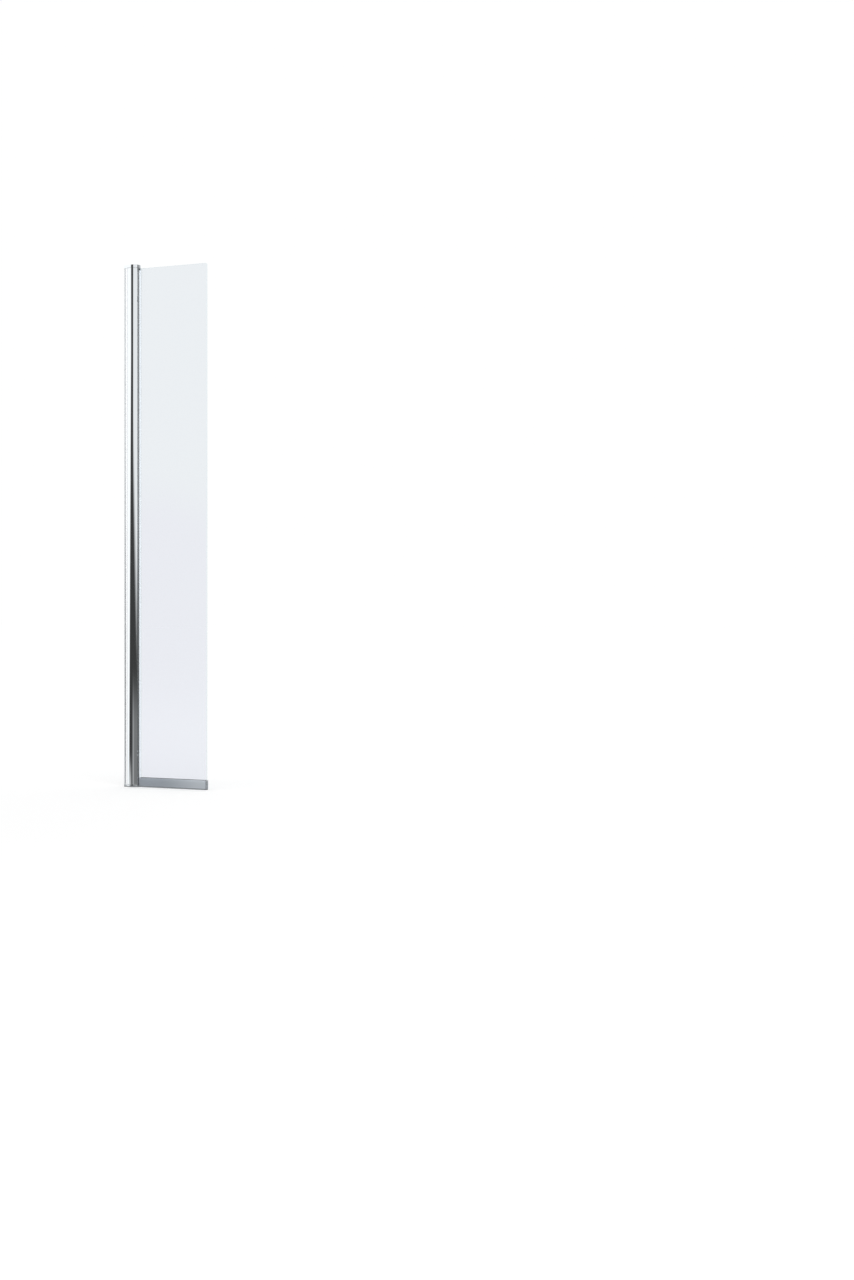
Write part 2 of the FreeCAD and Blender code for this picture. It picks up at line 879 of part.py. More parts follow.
def hinge_tube():
    """A round extrusion with a glazing channel, a rebate for the gasket lips and two screw ports."""
    body = sub_part("hinge_tube")
    length = tube_top - tube_bottom
    ring = sketch_on(body, "XY_Plane", tube_bottom)
    circle(ring, 0, 0, size.tube_radius)
    circle(ring, 0, 0, tube_inside)
    pad(body, ring, length)

    channel_side = channel_half_gap + size.channel_wall
    mid_wall = size.tube_radius - size.tube_wall / 2
    jaw_side = size.rebate_half_width + size.jaw_side
    jaw_back = rebate_floor - size.jaw_wall
    jaw_front = across(mid_wall, jaw_side)
    jaw = sketch_on(body, "XY_Plane", tube_bottom)
    outline(
        jaw,
        [
            (channel_back, -channel_side),
            (jaw_back, -channel_side),
            (jaw_back, -jaw_side),
            (jaw_front, -jaw_side, mid_wall, 1),
            (jaw_front, jaw_side),
            (jaw_back, jaw_side),
            (jaw_back, channel_side),
            (channel_back, channel_side),
        ],
    )
    pad(body, jaw, length)

    bosses = sketch_on(body, "XY_Plane", tube_bottom)
    ports = sketch_on(body, "XY_Plane", tube_bottom)
    for sign in (1, -1):
        circle(bosses, -size.tube_port_back, tube_port_side * sign, port_boss_radius)
        circle(ports, -size.tube_port_back, tube_port_side * sign, size.port_radius)
    pad(body, bosses, length)
    pocket(body, ports, length)

    past_tube = size.tube_radius + size.tube_wall
    channel = sketch_on(body, "XY_Plane", tube_bottom)
    rectangle(channel, channel_seat, -channel_half_gap, past_tube, channel_half_gap)
    pocket(body, channel, length)
    rebate = sketch_on(body, "XY_Plane", tube_bottom)
    rectangle(
        rebate, rebate_floor, -size.rebate_half_width, past_tube, size.rebate_half_width
    )
    pocket(body, rebate, length)
    return body


def glass_panel():
    body = sub_part("glass_panel")
    face = sketch_on(body, "XZ_Plane", -half_glass)
    rectangle(face, glass_edge_x, glass_bottom, free_edge_x, glass_top)
    pad(body, face, size.glass_thickness)
    dress(
        body,
        "Fillet",
        "Radius",
        size.glass_corner,
        lambda edge, middle: near(middle.x, free_edge_x) and near(middle.z, glass_top),
    )
    dress(
        body,
        "Chamfer",
        "Size",
        size.glass_arris,
        lambda edge, middle: near(abs(middle.y), half_glass),
    )
    return body


def glazing_gasket(name, sign):
    """Gasket beside the glass: a stem in the channel and a lip in the rebate."""
    body = sub_part(name)
    radius = size.tube_radius - size.gasket_inset
    root_x = glass_edge_x + size.gasket_root
    corners = [
        (root_x, half_glass * sign),
        (root_x, channel_half_gap * sign),
        (rebate_floor, channel_half_gap * sign),
        (rebate_floor, size.rebate_half_width * sign),
        (
            across(radius, size.rebate_half_width),
            size.rebate_half_width * sign,
            radius,
            -sign,
        ),
        (across(radius, half_glass), half_glass * sign),
    ]
    section = sketch_on(body, "XY_Plane", tube_bottom)
    outline(section, corners)
    pad(body, section, tube_top - size.gasket_stop - tube_bottom)
    return body


def setting_blocks():
    body = sub_part("setting_blocks")
    body.AllowCompound = True
    first = glass_bottom + size.block_margin
    last = glass_top - size.block_margin - size.block_height
    block = sketch_on(body, "XZ_Plane", -half_glass)
    rectangle(block, channel_seat, first, glass_edge_x, first + size.block_height)
    solid = pad(body, block, size.glass_thickness)
    in_a_row(body, [solid], "Z_Axis", (last - first) / 2, 3)
    return body


def bottom_rail():
    """The rail under the glass: a glass channel above, a chamber for the seal below."""
    body = sub_part("bottom_rail")
    section = sketch_on(body, "YZ_Plane", rail_body_start)
    half = rail_half_width
    inside = rail_inside
    outline(
        section,
        [
            (size.rail_slot, size.rail_floor),
            (half, size.rail_floor),
            (half, rail_top),
            (inside, rail_top),
            (inside, rail_web_top),
            (-inside, rail_web_top),
            (-inside, rail_top),
            (-half, rail_top),
            (-half, size.rail_floor),
            (-size.rail_slot, size.rail_floor),
            (-size.rail_slot, chamber_floor),
            (-inside, chamber_floor),
            (-inside, rail_web_bottom),
            (inside, rail_web_bottom),
            (inside, chamber_floor),
            (size.rail_slot, chamber_floor),
        ],
    )
    pad(body, section, rail_body_end - rail_body_start)
    dress(
        body,
        "Fillet",
        "Radius",
        size.rail_round,
        lambda edge, middle: near(abs(middle.y), half) and is_lengthwise(edge),
    )
    return body


def is_lengthwise(edge):
    ends = [vertex.Point for vertex in edge.Vertexes]
    return len(ends) == 2 and abs(ends[0].x - ends[1].x) > edge.Length * 0.99


def rail_gasket():
    """A U of gasket between glass and rail, with two small lips on the rail's walls."""
    body = sub_part("rail_gasket")
    section = sketch_on(body, "YZ_Plane", rail_body_start)
    lip_half = rail_inside + size.rail_lip_cover
    lip_top = rail_top + size.rail_lip
    outline(
        section,
        [
            (-rail_inside, rail_web_top),
            (rail_inside, rail_web_top),
            (rail_inside, rail_top),
            (lip_half, rail_top),
            (half_glass, lip_top),
            (half_glass, glass_bottom),
            (-half_glass, glass_bottom),
            (-half_glass, lip_top),
            (-lip_half, rail_top),
            (-rail_inside, rail_top),
        ],
    )
    pad(body, section, rail_body_end - rail_body_start)
    return body


def rail_cap(name, start, thickness, way):
    """A cap on the end of the rail: a plate round the glass, with a peg in the chamber."""
    body = sub_part(name)
    plate = sketch_on(body, "YZ_Plane", start)
    half = rail_half_width
    notch = half_glass + size.cap_clearance
    notch_floor = glass_bottom - size.cap_clearance
    outline(
        plate,
        [
            (-half, size.rail_floor),
            (half, size.rail_floor),
            (half, rail_top),
            (notch, rail_top),
            (notch, notch_floor),
            (-notch, notch_floor),
            (-notch, rail_top),
            (-half, rail_top),
        ],
    )
    pad(body, plate, thickness, -way)
    dress(
        body,
        "Fillet",
        "Radius",
        size.rail_round,
        lambda edge, middle: near(abs(middle.y), half) and is_lengthwise(edge),
    )
    peg = sketch_on(body, "YZ_Plane", start)
    peg_half = rail_inside - size.cap_clearance
    peg_top = rail_web_bottom - size.cap_clearance
    rectangle(peg, -peg_half, bead_top + size.cap_clearance, peg_half, peg_top)
    pad(body, peg, size.cap_peg_length, way)
    return body


def wiper_seal():
    """The seal under the rail: a plate with two fins, and a bead held in the rail's chamber."""
    body = sub_part("wiper_seal")
    plate_low = size.rail_floor - size.seal_plate
    outer_tip = size.seal_plate_half + size.fin_spread
    fins = sketch_on(body, "YZ_Plane", rail_start)
    outline(
        fins,
        [
            (-size.seal_plate_half, size.rail_floor),
            (-outer_tip, size.fin_tip),
            (size.fin_thickness - outer_tip, size.fin_tip),
            (size.fin_thickness - size.seal_plate_half, plate_low),
            (size.seal_plate_half - size.fin_thickness, plate_low),
            (outer_tip - size.fin_thickness, size.fin_tip),
            (outer_tip, size.fin_tip),
            (size.seal_plate_half, size.rail_floor),
        ],
    )
    pad(body, fins, free_edge_x - rail_start)

    bead = sketch_on(body, "YZ_Plane", rail_body_start)
    bead_half = rail_inside - size.bead_clearance
    outline(
        bead,
        [
            (-size.rail_slot, plate_low),
            (size.rail_slot, plate_low),
            (size.rail_slot, chamber_floor),
            (bead_half, chamber_floor),
            (bead_half, bead_top),
            (-bead_half, bead_top),
            (-bead_half, chamber_floor),
            (-size.rail_slot, chamber_floor),
        ],
    )
    pad(body, bead, rail_body_end - rail_body_start)
    return body


SUB_PARTS = [
    wall_channel(),
    carrier_profile(),
    tube_seal("tube_seal_front", -1),
    tube_seal("tube_seal_back", 1),
    profile_screws(),
    screw_caps(),
    bracket(TOP, size.cap_wall, False),
    bracket(BOTTOM, as_size(0), True),
    top_cap(),
    foot_pad(),
    thrust_washer(),
    hinge_tube(),
    glass_panel(),
    glazing_gasket("glazing_gasket_front", -1),
    glazing_gasket("glazing_gasket_back", 1),
    setting_blocks(),
    bottom_rail(),
    rail_gasket(),
    rail_cap("rail_inner_cap", rail_body_start, size.inner_cap_thickness, 1),
    rail_cap("rail_end_cap", rail_body_end, size.end_cap_thickness, -1),
    wiper_seal(),
]
for hinge_end in (BOTTOM, TOP):
    SUB_PARTS += [pivot_pin(hinge_end), bush(hinge_end), end_plug(hinge_end)]
    SUB_PARTS += [plug_screws(hinge_end), bracket_screws(hinge_end)]

document.recompute()

for thing in document.Objects:
    if "Invalid" in thing.State or "Error" in thing.State:
        raise RuntimeError("%s failed: %s" % (thing.Label, thing.State))
for body in SUB_PARTS:
    if body.Shape.isNull() or not body.Shape.isValid():
        raise RuntimeError("%s has no valid shape" % body.Label)

os.makedirs("parts", exist_ok=True)
for body in SUB_PARTS:
    body.Shape.exportStep("parts/%s.step" % body.Label)
    box = body.Shape.BoundBox
    print(
        "%-24s %d solid(s), %.1f mm3, x %.2f..%.2f y %.2f..%.2f z %.2f..%.2f"
        % (
            body.Label,
            len(body.Shape.Solids),
            body.Shape.Volume,
            box.XMin,
            box.XMax,
            box.YMin,
            box.YMax,
            box.ZMin,
            box.ZMax,
        )
    )
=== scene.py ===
# %% [markdown]
# # A pivoting bath screen
#
# The real object is a narrow pane of toughened glass that swings on a round chrome tube. The
# tube turns on two pins between a fixed cap and a fixed foot, in front of a profile that is
# screwed to the wall. A satin rail with a wiper seal runs along the lower edge of the glass.
#
# The measured model comes first and is never moved. Around it come the finished surfaces:
# extrusions drawn from their cross-sections, castings with soft edges, clear glass, and the
# metals, rubbers and plastics that cover them.

# %% Load the measured model
import math

import bmesh
import bpy
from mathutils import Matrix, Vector


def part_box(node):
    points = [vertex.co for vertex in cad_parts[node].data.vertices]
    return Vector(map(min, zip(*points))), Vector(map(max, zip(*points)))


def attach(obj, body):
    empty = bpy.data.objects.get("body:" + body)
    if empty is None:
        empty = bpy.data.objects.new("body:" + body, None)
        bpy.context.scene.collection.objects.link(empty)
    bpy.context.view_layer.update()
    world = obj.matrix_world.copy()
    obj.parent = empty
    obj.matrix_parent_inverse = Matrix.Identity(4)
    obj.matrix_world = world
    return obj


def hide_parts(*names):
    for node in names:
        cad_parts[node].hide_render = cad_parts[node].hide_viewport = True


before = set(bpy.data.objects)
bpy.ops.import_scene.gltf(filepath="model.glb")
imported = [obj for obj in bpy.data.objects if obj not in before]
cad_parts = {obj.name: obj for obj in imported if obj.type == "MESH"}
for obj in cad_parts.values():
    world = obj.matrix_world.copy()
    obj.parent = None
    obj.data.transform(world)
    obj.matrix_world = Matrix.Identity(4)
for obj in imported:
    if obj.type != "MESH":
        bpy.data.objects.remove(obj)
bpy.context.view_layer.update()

MM = 0.001
bpy.context.scene.view_settings.view_transform = "Standard"

# %% [markdown]
# ## The camera
#
# The picture was taken level, from the dry side and well past the free edge of the glass, so the
# upright lines stay upright. A level camera can't be tilted to frame the object, so it is
# shifted a little instead. The lens follows from how fast the glass narrows with distance.

# %% Place the camera
CAMERA_PLACE = (3.06, -4.65, 0.532)
CAMERA_TURN = math.radians(24.632)
LENS = 53.76
CAMERA_SHIFT = -0.0299
CAMERA_REACH = 200

camera_data = bpy.data.cameras.new("camera")
camera_data.lens = LENS
camera_data.shift_y = CAMERA_SHIFT
camera_data.clip_end = CAMERA_REACH
camera = bpy.data.objects.new("camera", camera_data)
camera.location = CAMERA_PLACE
camera.rotation_euler = (math.pi / 2, 0, CAMERA_TURN)
bpy.context.scene.collection.objects.link(camera)
bpy.context.scene.camera = camera
print("camera at", tuple(camera.location), "lens", camera_data.lens)

# %% [markdown]
# ## Writing shader maths as sums
#
# Node trees are easier to read as formulas. One small class stands for an output socket, and the
# usual signs between two of them add Math nodes. Every other node comes from one method, which
# takes the node's type, its settings and what goes into its sockets.


# %% Shader maths
class Wire:
    """The output of a node. Arithmetic on wires adds Math nodes."""

    def __init__(self, sheet, socket):
        self.sheet = sheet
        self.socket = socket

    def _maths(self, operation, *values):
        return self.sheet.add("ShaderNodeMath", {"operation": operation}, dict(enumerate(values)))

    def __add__(self, other):
        return self._maths("ADD", self, other)

    def __sub__(self, other):
        return self._maths("SUBTRACT", self, other)

    def __rsub__(self, other):
        return self._maths("SUBTRACT", other, self)

    def __mul__(self, other):
        return self._maths("MULTIPLY", self, other)

    def __truediv__(self, other):
        return self._maths("DIVIDE", self, other)

    __radd__ = __add__
    __rmul__ = __mul__

    def least(self, other):
        return self._maths("MINIMUM", self, other)

    def most(self, other):
        return self._maths("MAXIMUM", self, other)


class NodeSheet:
    """The node tree of a material or a world."""

    def __init__(self, owner):
        owner.use_nodes = True
        self.tree = owner.node_tree
        self.tree.nodes.clear()

    def add(self, kind, settings=None, sockets=None, output=None):
        """Add a node: settings first, then its sockets by name or number. Returns one output."""
        node = self.tree.nodes.new(kind)
        for name, value in (settings or {}).items():
            setattr(node, name, value)
        for name, value in (sockets or {}).items():
            socket = self._find(node.inputs, name)
            if isinstance(value, Wire):
                self.tree.links.new(value.socket, socket)
            else:
                socket.default_value = value
        if not node.outputs:
            return None
        return Wire(self, self._find(node.outputs, 0 if output is None else output))

    def _find(self, sockets, name):
        live = [socket for socket in sockets if socket.enabled]
        if isinstance(name, int):
            return live[name]
        return [socket for socket in live if socket.name == name][0]

    def mix_colours(self, factor, first, second):
        return self.add(
            "ShaderNodeMix",
            {"data_type": "RGBA"},
            {"Factor": factor, "A": first, "B": second},
        )

    def step(self, value, low, high):
        """A soft step: 0 below low, 1 above high."""
        return self.add(
            "ShaderNodeMapRange",
            {"interpolation_type": "SMOOTHSTEP"},
            {"Value": value, "From Min": low, "From Max": high},
        )


def grey(shade):
    return (shade, shade, shade, 1)


print("shader maths ready")

# %% [markdown]
# ## What the chrome sees
#
# Chrome has hardly any colour of its own: it shows the studio around it. This one is a white
# studio with a tall dark opening on the dry side, a dark line along the horizon and a grey floor
# in front. The camera itself, and what is seen through the glass, get plain white, and matt
# surfaces get a plain even light. A perfect mirror, which only the glass is, gets white, with a
# soft violet haze low down in front of the screen. So the world answers each kind of ray in its
# own way, by the ray's direction.

# %% Directions and masks
def direction_angles(sheet):
    """Bearing and height of the direction that is looked up, in degrees."""
    direction = sheet.add("ShaderNodeTexCoord", output="Generated")
    split = {"Vector": direction}
    across = sheet.add("ShaderNodeSeparateXYZ", {}, split, "X")
    along = sheet.add("ShaderNodeSeparateXYZ", {}, split, "Y")
    up = sheet.add("ShaderNodeSeparateXYZ", {}, split, "Z")
    turn = sheet.add("ShaderNodeMath", {"operation": "ARCTAN2"}, {0: along, 1: across})
    rise = sheet.add("ShaderNodeMath", {"operation": "ARCSINE"}, {0: up})
    return turn * math.degrees(1), rise * math.degrees(1)


def between(sheet, value, low, high, soft):
    """1 between low and high, with soft sides."""
    rising = sheet.step(value, low - soft, low + soft)
    falling = sheet.step(value, high - soft, high + soft)
    return rising - falling


def laid_over(shade, mask, new_shade):
    """The new shade where the mask is 1, and the old one where it is 0."""
    return shade + mask * (new_shade - shade)


print("masks ready")

# %% What is where in the studio
# Angles are in degrees. Each panel: how much darker it is, its sides and their softness.
GREY_PANELS = [(0.2, -74, -21, 4), (0.69, -9, 52, 5), (0.5, 60, 78, 4)]
CHROME_WHITE = 1.03
OPENING_SHADE = 0.045
OPENING_LEFT = -106
LEAN = 2.9
LEAN_TOP = 7.5
LEAN_DEPTH = 12
CREST_START = -73
CREST_LENGTH = 80
CREST_HEIGHT = 5.6
CREST_FOOT = 0.3
FLOOR_GREY = 0.185
FLOOR_RIGHT_DARKER = 0.08
STRIP_LIGHTER = 0.13
STRIP_FOOT_LIGHTER = 0.06
RETURN_LIGHT = 0.7
RETURN_FADE = 0.55
UNDERNEATH = 0.62
UNDERNEATH_DARKER = 0.16


def studio(sheet):
    """The light and dark parts of the studio, as seen in polished metal."""
    bearing, height = direction_angles(sheet)
    shade = CHROME_WHITE
    for darker, left, right, soft in GREY_PANELS:
        shade = shade - darker * between(sheet, bearing, left, right, soft)

    # The dark opening leans outwards as it comes down, and a low crest runs on from its foot.
    left_side = OPENING_LEFT - (LEAN_TOP - height).most(0).least(LEAN_DEPTH) * LEAN
    opening = sheet.step(bearing - left_side, -6, 7)
    reach = ((bearing - CREST_START) / CREST_LENGTH).most(0).least(1)
    crest = (1 - reach) * (1 - reach) * CREST_HEIGHT - CREST_FOOT
    under_crest = 1 - sheet.step(height - crest, -2.3, 2.3)
    beside = 1 - sheet.step(bearing, -75, -64)
    opening = opening * beside.most(under_crest) * (1 - sheet.step(bearing, 74, 110))
    shade = laid_over(shade, opening, OPENING_SHADE)

    # Grey floor in front, darker to the right, with a paler strip whose foot is paler still.
    floor_mask = (1 - sheet.step(height, -3.8, -1.9)) * between(sheet, bearing, -84, 60, 8)
    strip = between(sheet, bearing, -74, -57, 6) * STRIP_LIGHTER
    floor_shade = FLOOR_GREY + strip - sheet.step(bearing, -9, 6) * FLOOR_RIGHT_DARKER
    shade = laid_over(shade, floor_mask, floor_shade)
    strip_foot = (1 - sheet.step(height, -5, -4.1)) * between(sheet, bearing, -92, -60, 6)
    shade = shade + strip_foot * STRIP_FOOT_LIGHTER

    # A light return low on the left, and what lies right under the object.
    low_left = (1 - sheet.step(height, -5.6, -4.4)) * between(sheet, bearing, -152, -88, 8)
    return_light = RETURN_LIGHT - sheet.step(bearing, -132, -92) * RETURN_FADE
    shade = laid_over(shade, low_left, return_light)
    underneath = 1 - sheet.step(height, -22, -7)
    middle = between(sheet, bearing, -130, -40, 30)
    return laid_over(shade, underneath, UNDERNEATH - UNDERNEATH_DARKER * middle)


print("studio:", len(GREY_PANELS), "panels and one opening")

# %% Build the world
PLAIN_LIGHT = 0.74
SKY_WHITE = 1.004
COOL_RED = 0.965
COOL_BLUE = 1.025
HAZE_COLOUR = (0.85, 0.66, 0.94, 1)
HAZE_FADE = (1.5, 8.5)
HAZE_SIDES = (-150, -96, 14)
FIRST_BOUNCE_DEPTH = 2.5

world = bpy.data.worlds.new("studio")
bpy.context.scene.world = world
world.cycles.sampling_method = "NONE"
sky = NodeSheet(world)
shade = studio(sky)
cool_shade = {"X": shade * COOL_RED, "Y": shade, "Z": shade * COOL_BLUE}
seen_in_metal = sky.add("ShaderNodeCombineXYZ", {}, cool_shade)
camera_ray = sky.add("ShaderNodeLightPath", output="Is Camera Ray")
through_glass = sky.add("ShaderNodeLightPath", output="Is Transmission Ray")
glossy_ray = sky.add("ShaderNodeLightPath", output="Is Glossy Ray")
depth = sky.add("ShaderNodeLightPath", output="Ray Depth")
early = {0: depth, 1: FIRST_BOUNCE_DEPTH}
first_bounce = sky.add("ShaderNodeMath", {"operation": "LESS_THAN"}, early)
mirror_ray = sky.add("ShaderNodeLightPath", output="Is Singular Ray") * first_bounce
pane_bearing, pane_height = direction_angles(sky)
haze = (1 - sky.step(pane_height, *HAZE_FADE)) * between(sky, pane_bearing, *HAZE_SIDES)
seen_in_pane = sky.mix_colours(haze, grey(CHROME_WHITE), HAZE_COLOUR)
plain = sky.mix_colours(camera_ray.most(through_glass), grey(PLAIN_LIGHT), grey(SKY_WHITE))
mirrored = sky.mix_colours(mirror_ray, seen_in_metal, seen_in_pane)
sky_colour = sky.mix_colours(glossy_ray, plain, mirrored)
background = sky.add("ShaderNodeBackground", {}, {"Color": sky_colour, "Strength": 1})
sky.add("ShaderNodeOutputWorld", {}, {"Surface": background})
print("world:", len(sky.tree.nodes), "nodes")

# %% [markdown]
# ## Floor and lamps
#
# The floor is a wide pale sheet in the plane that the screen stands on. It is lit like
# everything else, so it keeps the object's shadow, and only what the camera sees of it is raised
# a little, to white. It is raised less where the lamps already light it more. It hides from
# polished metal, which sees the floor of the studio above instead.
#
# Two large soft lamps give the matt parts some shape. They don't show in the metal either.

# %% Floor and lamps
FLOOR_WIDTH = 60
FLOOR_SHADE = 0.86
FLOOR_LIFT = 0.369
LAMP_SPOT = (0.4, -1.64)
LAMP_REACH = (3.0, 2.33)
LAMP_EXCESS = 0.174

bpy.ops.object.select_all(action="DESELECT")
bpy.ops.mesh.primitive_plane_add(size=FLOOR_WIDTH, location=(0, 0, 0))
floor = bpy.context.object
floor.name = "studio_floor"
floor.visible_glossy = False

pale = bpy.data.materials.new("studio_floor_white")
sheet = NodeSheet(pale)
matt = sheet.add("ShaderNodeBsdfDiffuse", {}, {"Color": grey(FLOOR_SHADE)})
place = sheet.add("ShaderNodeTexCoord", output="Object")
east = sheet.add("ShaderNodeSeparateXYZ", {}, {"Vector": place}, "X") - LAMP_SPOT[0]
north = sheet.add("ShaderNodeSeparateXYZ", {}, {"Vector": place}, "Y") - LAMP_SPOT[1]
distance = east * east / LAMP_REACH[0] ** 2 + north * north / LAMP_REACH[1] ** 2
fading = sheet.add("ShaderNodeMath", {"operation": "EXPONENT"}, {0: distance * -1})
glow = FLOOR_LIFT - fading * LAMP_EXCESS
lift = sheet.add("ShaderNodeEmission", {}, {"Color": grey(1), "Strength": glow})
both = sheet.add("ShaderNodeAddShader", {}, {0: matt, 1: lift})
seen = sheet.add("ShaderNodeLightPath", output="Is Camera Ray")
through = sheet.add("ShaderNodeLightPath", output="Is Transmission Ray")
surface = sheet.add("ShaderNodeMixShader", {}, {0: seen.most(through), 1: matt, 2: both})
sheet.add("ShaderNodeOutputMaterial", {}, {"Surface": surface})
floor.data.materials.append(pale)


def soft_lamp(name, place, aim, width, watts):
    """A large square lamp that lights matt surfaces and stays out of reflections."""
    lamp = bpy.data.lights.new(name, "AREA")
    lamp.size = width
    lamp.energy = watts
    holder = bpy.data.objects.new(name, lamp)
    holder.location = place
    direction = Vector(aim) - Vector(place)
    holder.rotation_euler = direction.to_track_quat("-Z", "Y").to_euler()
    holder.visible_glossy = False
    holder.visible_transmission = False
    holder.visible_camera = False
    bpy.context.scene.collection.objects.link(holder)


LAMP_WIDTH = 2.4
soft_lamp("key_lamp", (2.6, -2.4, 3.2), (0.1, 0, 0.6), LAMP_WIDTH, watts=34)
soft_lamp("fill_lamp", (-2.2, -2.8, 1.8), (0.1, 0, 0.7), LAMP_WIDTH, watts=16)
print("floor and lamps placed")

# %% [markdown]
# ## Modelling by hand, in code
#
# Everything below uses the tools that a hand would use: a primitive or a drawn outline, then
# extrude, inset, bevel and bridge in edit mode, and modifiers that are applied. An operator acts
# on all that is selected, so each helper first drops the selection and then takes hold of one
# piece.


# %% Take hold of a piece
def hold(*pieces):
    """Select only these pieces; the first becomes the active one."""
    bpy.ops.object.select_all(action="DESELECT")
    for piece in pieces:
        piece.select_set(True)
    if pieces:
        bpy.context.view_layer.objects.active = pieces[0]


def edit(piece):
    hold(piece)
    bpy.ops.object.mode_set(mode="EDIT")


def leave_edit():
    bpy.ops.object.mode_set(mode="OBJECT")


def pick(kind, test):
    """In edit mode, select the vertices, edges or faces that pass the test of middle and part."""
    bpy.ops.mesh.select_mode(type=kind)
    bpy.ops.mesh.select_all(action="DESELECT")
    mesh = bmesh.from_edit_mesh(bpy.context.edit_object.data)
    parts = {"VERT": mesh.verts, "EDGE": mesh.edges, "FACE": mesh.faces}[kind]
    for part in parts:
        corners = [part.co] if kind == "VERT" else [corner.co for corner in part.verts]
        middle = sum(corners, Vector()) / len(corners)
        if test(middle, part):
            part.select_set(True)
    bmesh.update_edit_mesh(bpy.context.edit_object.data)


def settle(piece, name):
    """Name the piece and put its place and size into its mesh."""
    hold(piece)
    bpy.ops.object.transform_apply(location=True, rotation=True, scale=True)
    piece.name = name
    piece.data.name = name
    return piece


def finish_some(piece, finish, test):
    """Give the faces that pass the test a finish of their own."""
    piece.data.materials.append(finish)
    edit(piece)
    pick("FACE", test)
    bpy.context.object.active_material_index = len(piece.data.materials) - 1
    bpy.ops.object.material_slot_assign()
    leave_edit()


print("piece helpers ready")

# %% [markdown]
# ## Drawn outlines
#
# A profile is drawn as on paper: a plane is merged to one vertex, the vertex is extruded from
# corner to corner, the outline is filled, and the face is pulled out to the length of the bar.
# Arcs are corners close together, so that the smooth shading over them looks round.


# %% Draw and pull
def arc(centre, radius, start, end, steps):
    """Points along an arc, angles in degrees, both ends included."""
    points = []
    for index in range(steps + 1):
        angle = math.radians(start + (end - start) * index / steps)
        points.append((centre[0] + radius * math.cos(angle), centre[1] + radius * math.sin(angle)))
    return points


def flat(points, level):
    """Points of a level outline, in millimetres, at a height in metres."""
    return [Vector((x * MM, y * MM, level)) for x, y in points]


def upright(points, station):
    """Points of an outline across the pane, in millimetres, at a distance along X in metres."""
    return [Vector((station, y * MM, z * MM)) for y, z in points]


def pulled(name, corners, pull):
    """A bar: the outline is drawn, filled and extruded along the pull."""
    hold()
    bpy.ops.mesh.primitive_plane_add(size=1, location=(0, 0, 0))
    bar = bpy.context.object
    edit(bar)
    bpy.ops.mesh.select_mode(type="VERT")
    bpy.ops.mesh.select_all(action="SELECT")
    bpy.ops.mesh.merge(type="CENTER")
    bpy.ops.transform.translate(value=corners[0])
    for before, corner in zip(corners, corners[1:]):
        bpy.ops.mesh.extrude_vertices_move(TRANSFORM_OT_translate={"value": corner - before})
    bpy.ops.mesh.select_all(action="SELECT")
    bpy.ops.mesh.edge_face_add()
    bpy.ops.mesh.extrude_region_move(TRANSFORM_OT_translate={"value": Vector(pull)})
    bpy.ops.mesh.select_all(action="SELECT")
    bpy.ops.mesh.normals_make_consistent(inside=False)
    leave_edit()
    return settle(bar, name)


print("outline helpers ready")

# %% [markdown]
# ## Cutting and softening
#
# Holes and slots are cut with Boolean modifiers, and sharp edges get a small bevel, because a
# real edge always catches a thin line of light. Both are applied, so only plain meshes are left.


# %% Cut, join and soften
def apply_new(piece, kind, **settings):
    hold(piece)
    modifier = piece.modifiers.new(kind.lower(), kind)
    for name, value in settings.items():
        setattr(modifier, name, value)
    bpy.ops.object.modifier_apply(modifier=modifier.name)


def combine(piece, tool, operation):
    """Boolean with the tool, which is used up."""
    apply_new(piece, "BOOLEAN", operation=operation, object=tool, solver="EXACT")
    bpy.data.objects.remove(tool)


def block(low, high):
    """A box from its lowest to its highest corner, in millimetres."""
    low = Vector(low) * MM
    high = Vector(high) * MM
    hold()
    bpy.ops.mesh.primitive_cube_add(size=1, location=(low + high) / 2)
    piece = bpy.context.object
    piece.scale = high - low
    return settle(piece, "block")


def rod(radius, start, end, sides):
    """A round bar between two points, in millimetres."""
    start = Vector(start) * MM
    end = Vector(end) * MM
    axis = end - start
    hold()
    bpy.ops.mesh.primitive_cylinder_add(
        vertices=sides, radius=radius * MM, depth=axis.length, location=(start + end) / 2
    )
    piece = bpy.context.object
    piece.rotation_euler = axis.to_track_quat("Z", "Y").to_euler()
    return settle(piece, "rod")


def soften(piece, width, segments=2, angle=60):
    """Bevel every edge that is sharper than the angle, by a width in millimetres."""
    apply_new(
        piece,
        "BEVEL",
        width=width * MM,
        segments=segments,
        limit_method="ANGLE",
        angle_limit=math.radians(angle),
    )


def smooth(piece, angle=40):
    hold(piece)
    bpy.ops.object.shade_smooth_by_angle(angle=math.radians(angle))


print("cutting helpers ready")

# %% [markdown]
# ## Finishes: chrome and aluminium
#
# Chrome over a drawn tube is a near mirror. Up close it still keeps very fine lines along the
# length, from the die, and a faint unevenness in its gloss. The satin rail is brushed and
# anodised: its lines are stronger, its gloss is much wider, and its grey is cool. Towards the
# free end it is painted paler, which is painted light. The profiles at the wall have a pale
# silver coat. The carrier's has a trace of glow, painted light for the light that is caught
# between the tube and the wall.


# %% Metal finishes
LINE_STRETCH = 400
CLOUDS_ACROSS = 25
CLOUDS_ALONG = 6
CLOUD_DEPTH = 0.012
LINE_DEPTH = 0.0001
PALE_FROM = 0.09
PALE_TO = 0.24


def stretched_noise(sheet, along, density, length, detail=2):
    """Noise drawn out along one axis: density across it, length along it, in cycles per metre."""
    place = sheet.add("ShaderNodeTexCoord", output="Object")
    scale = [density, density, density]
    scale["XYZ".index(along)] = length
    drawn = sheet.add("ShaderNodeMapping", {}, {"Vector": place, "Scale": scale})
    return sheet.add(
        "ShaderNodeTexNoise", {}, {"Vector": drawn, "Scale": 1.0, "Detail": detail}, "Fac"
    )


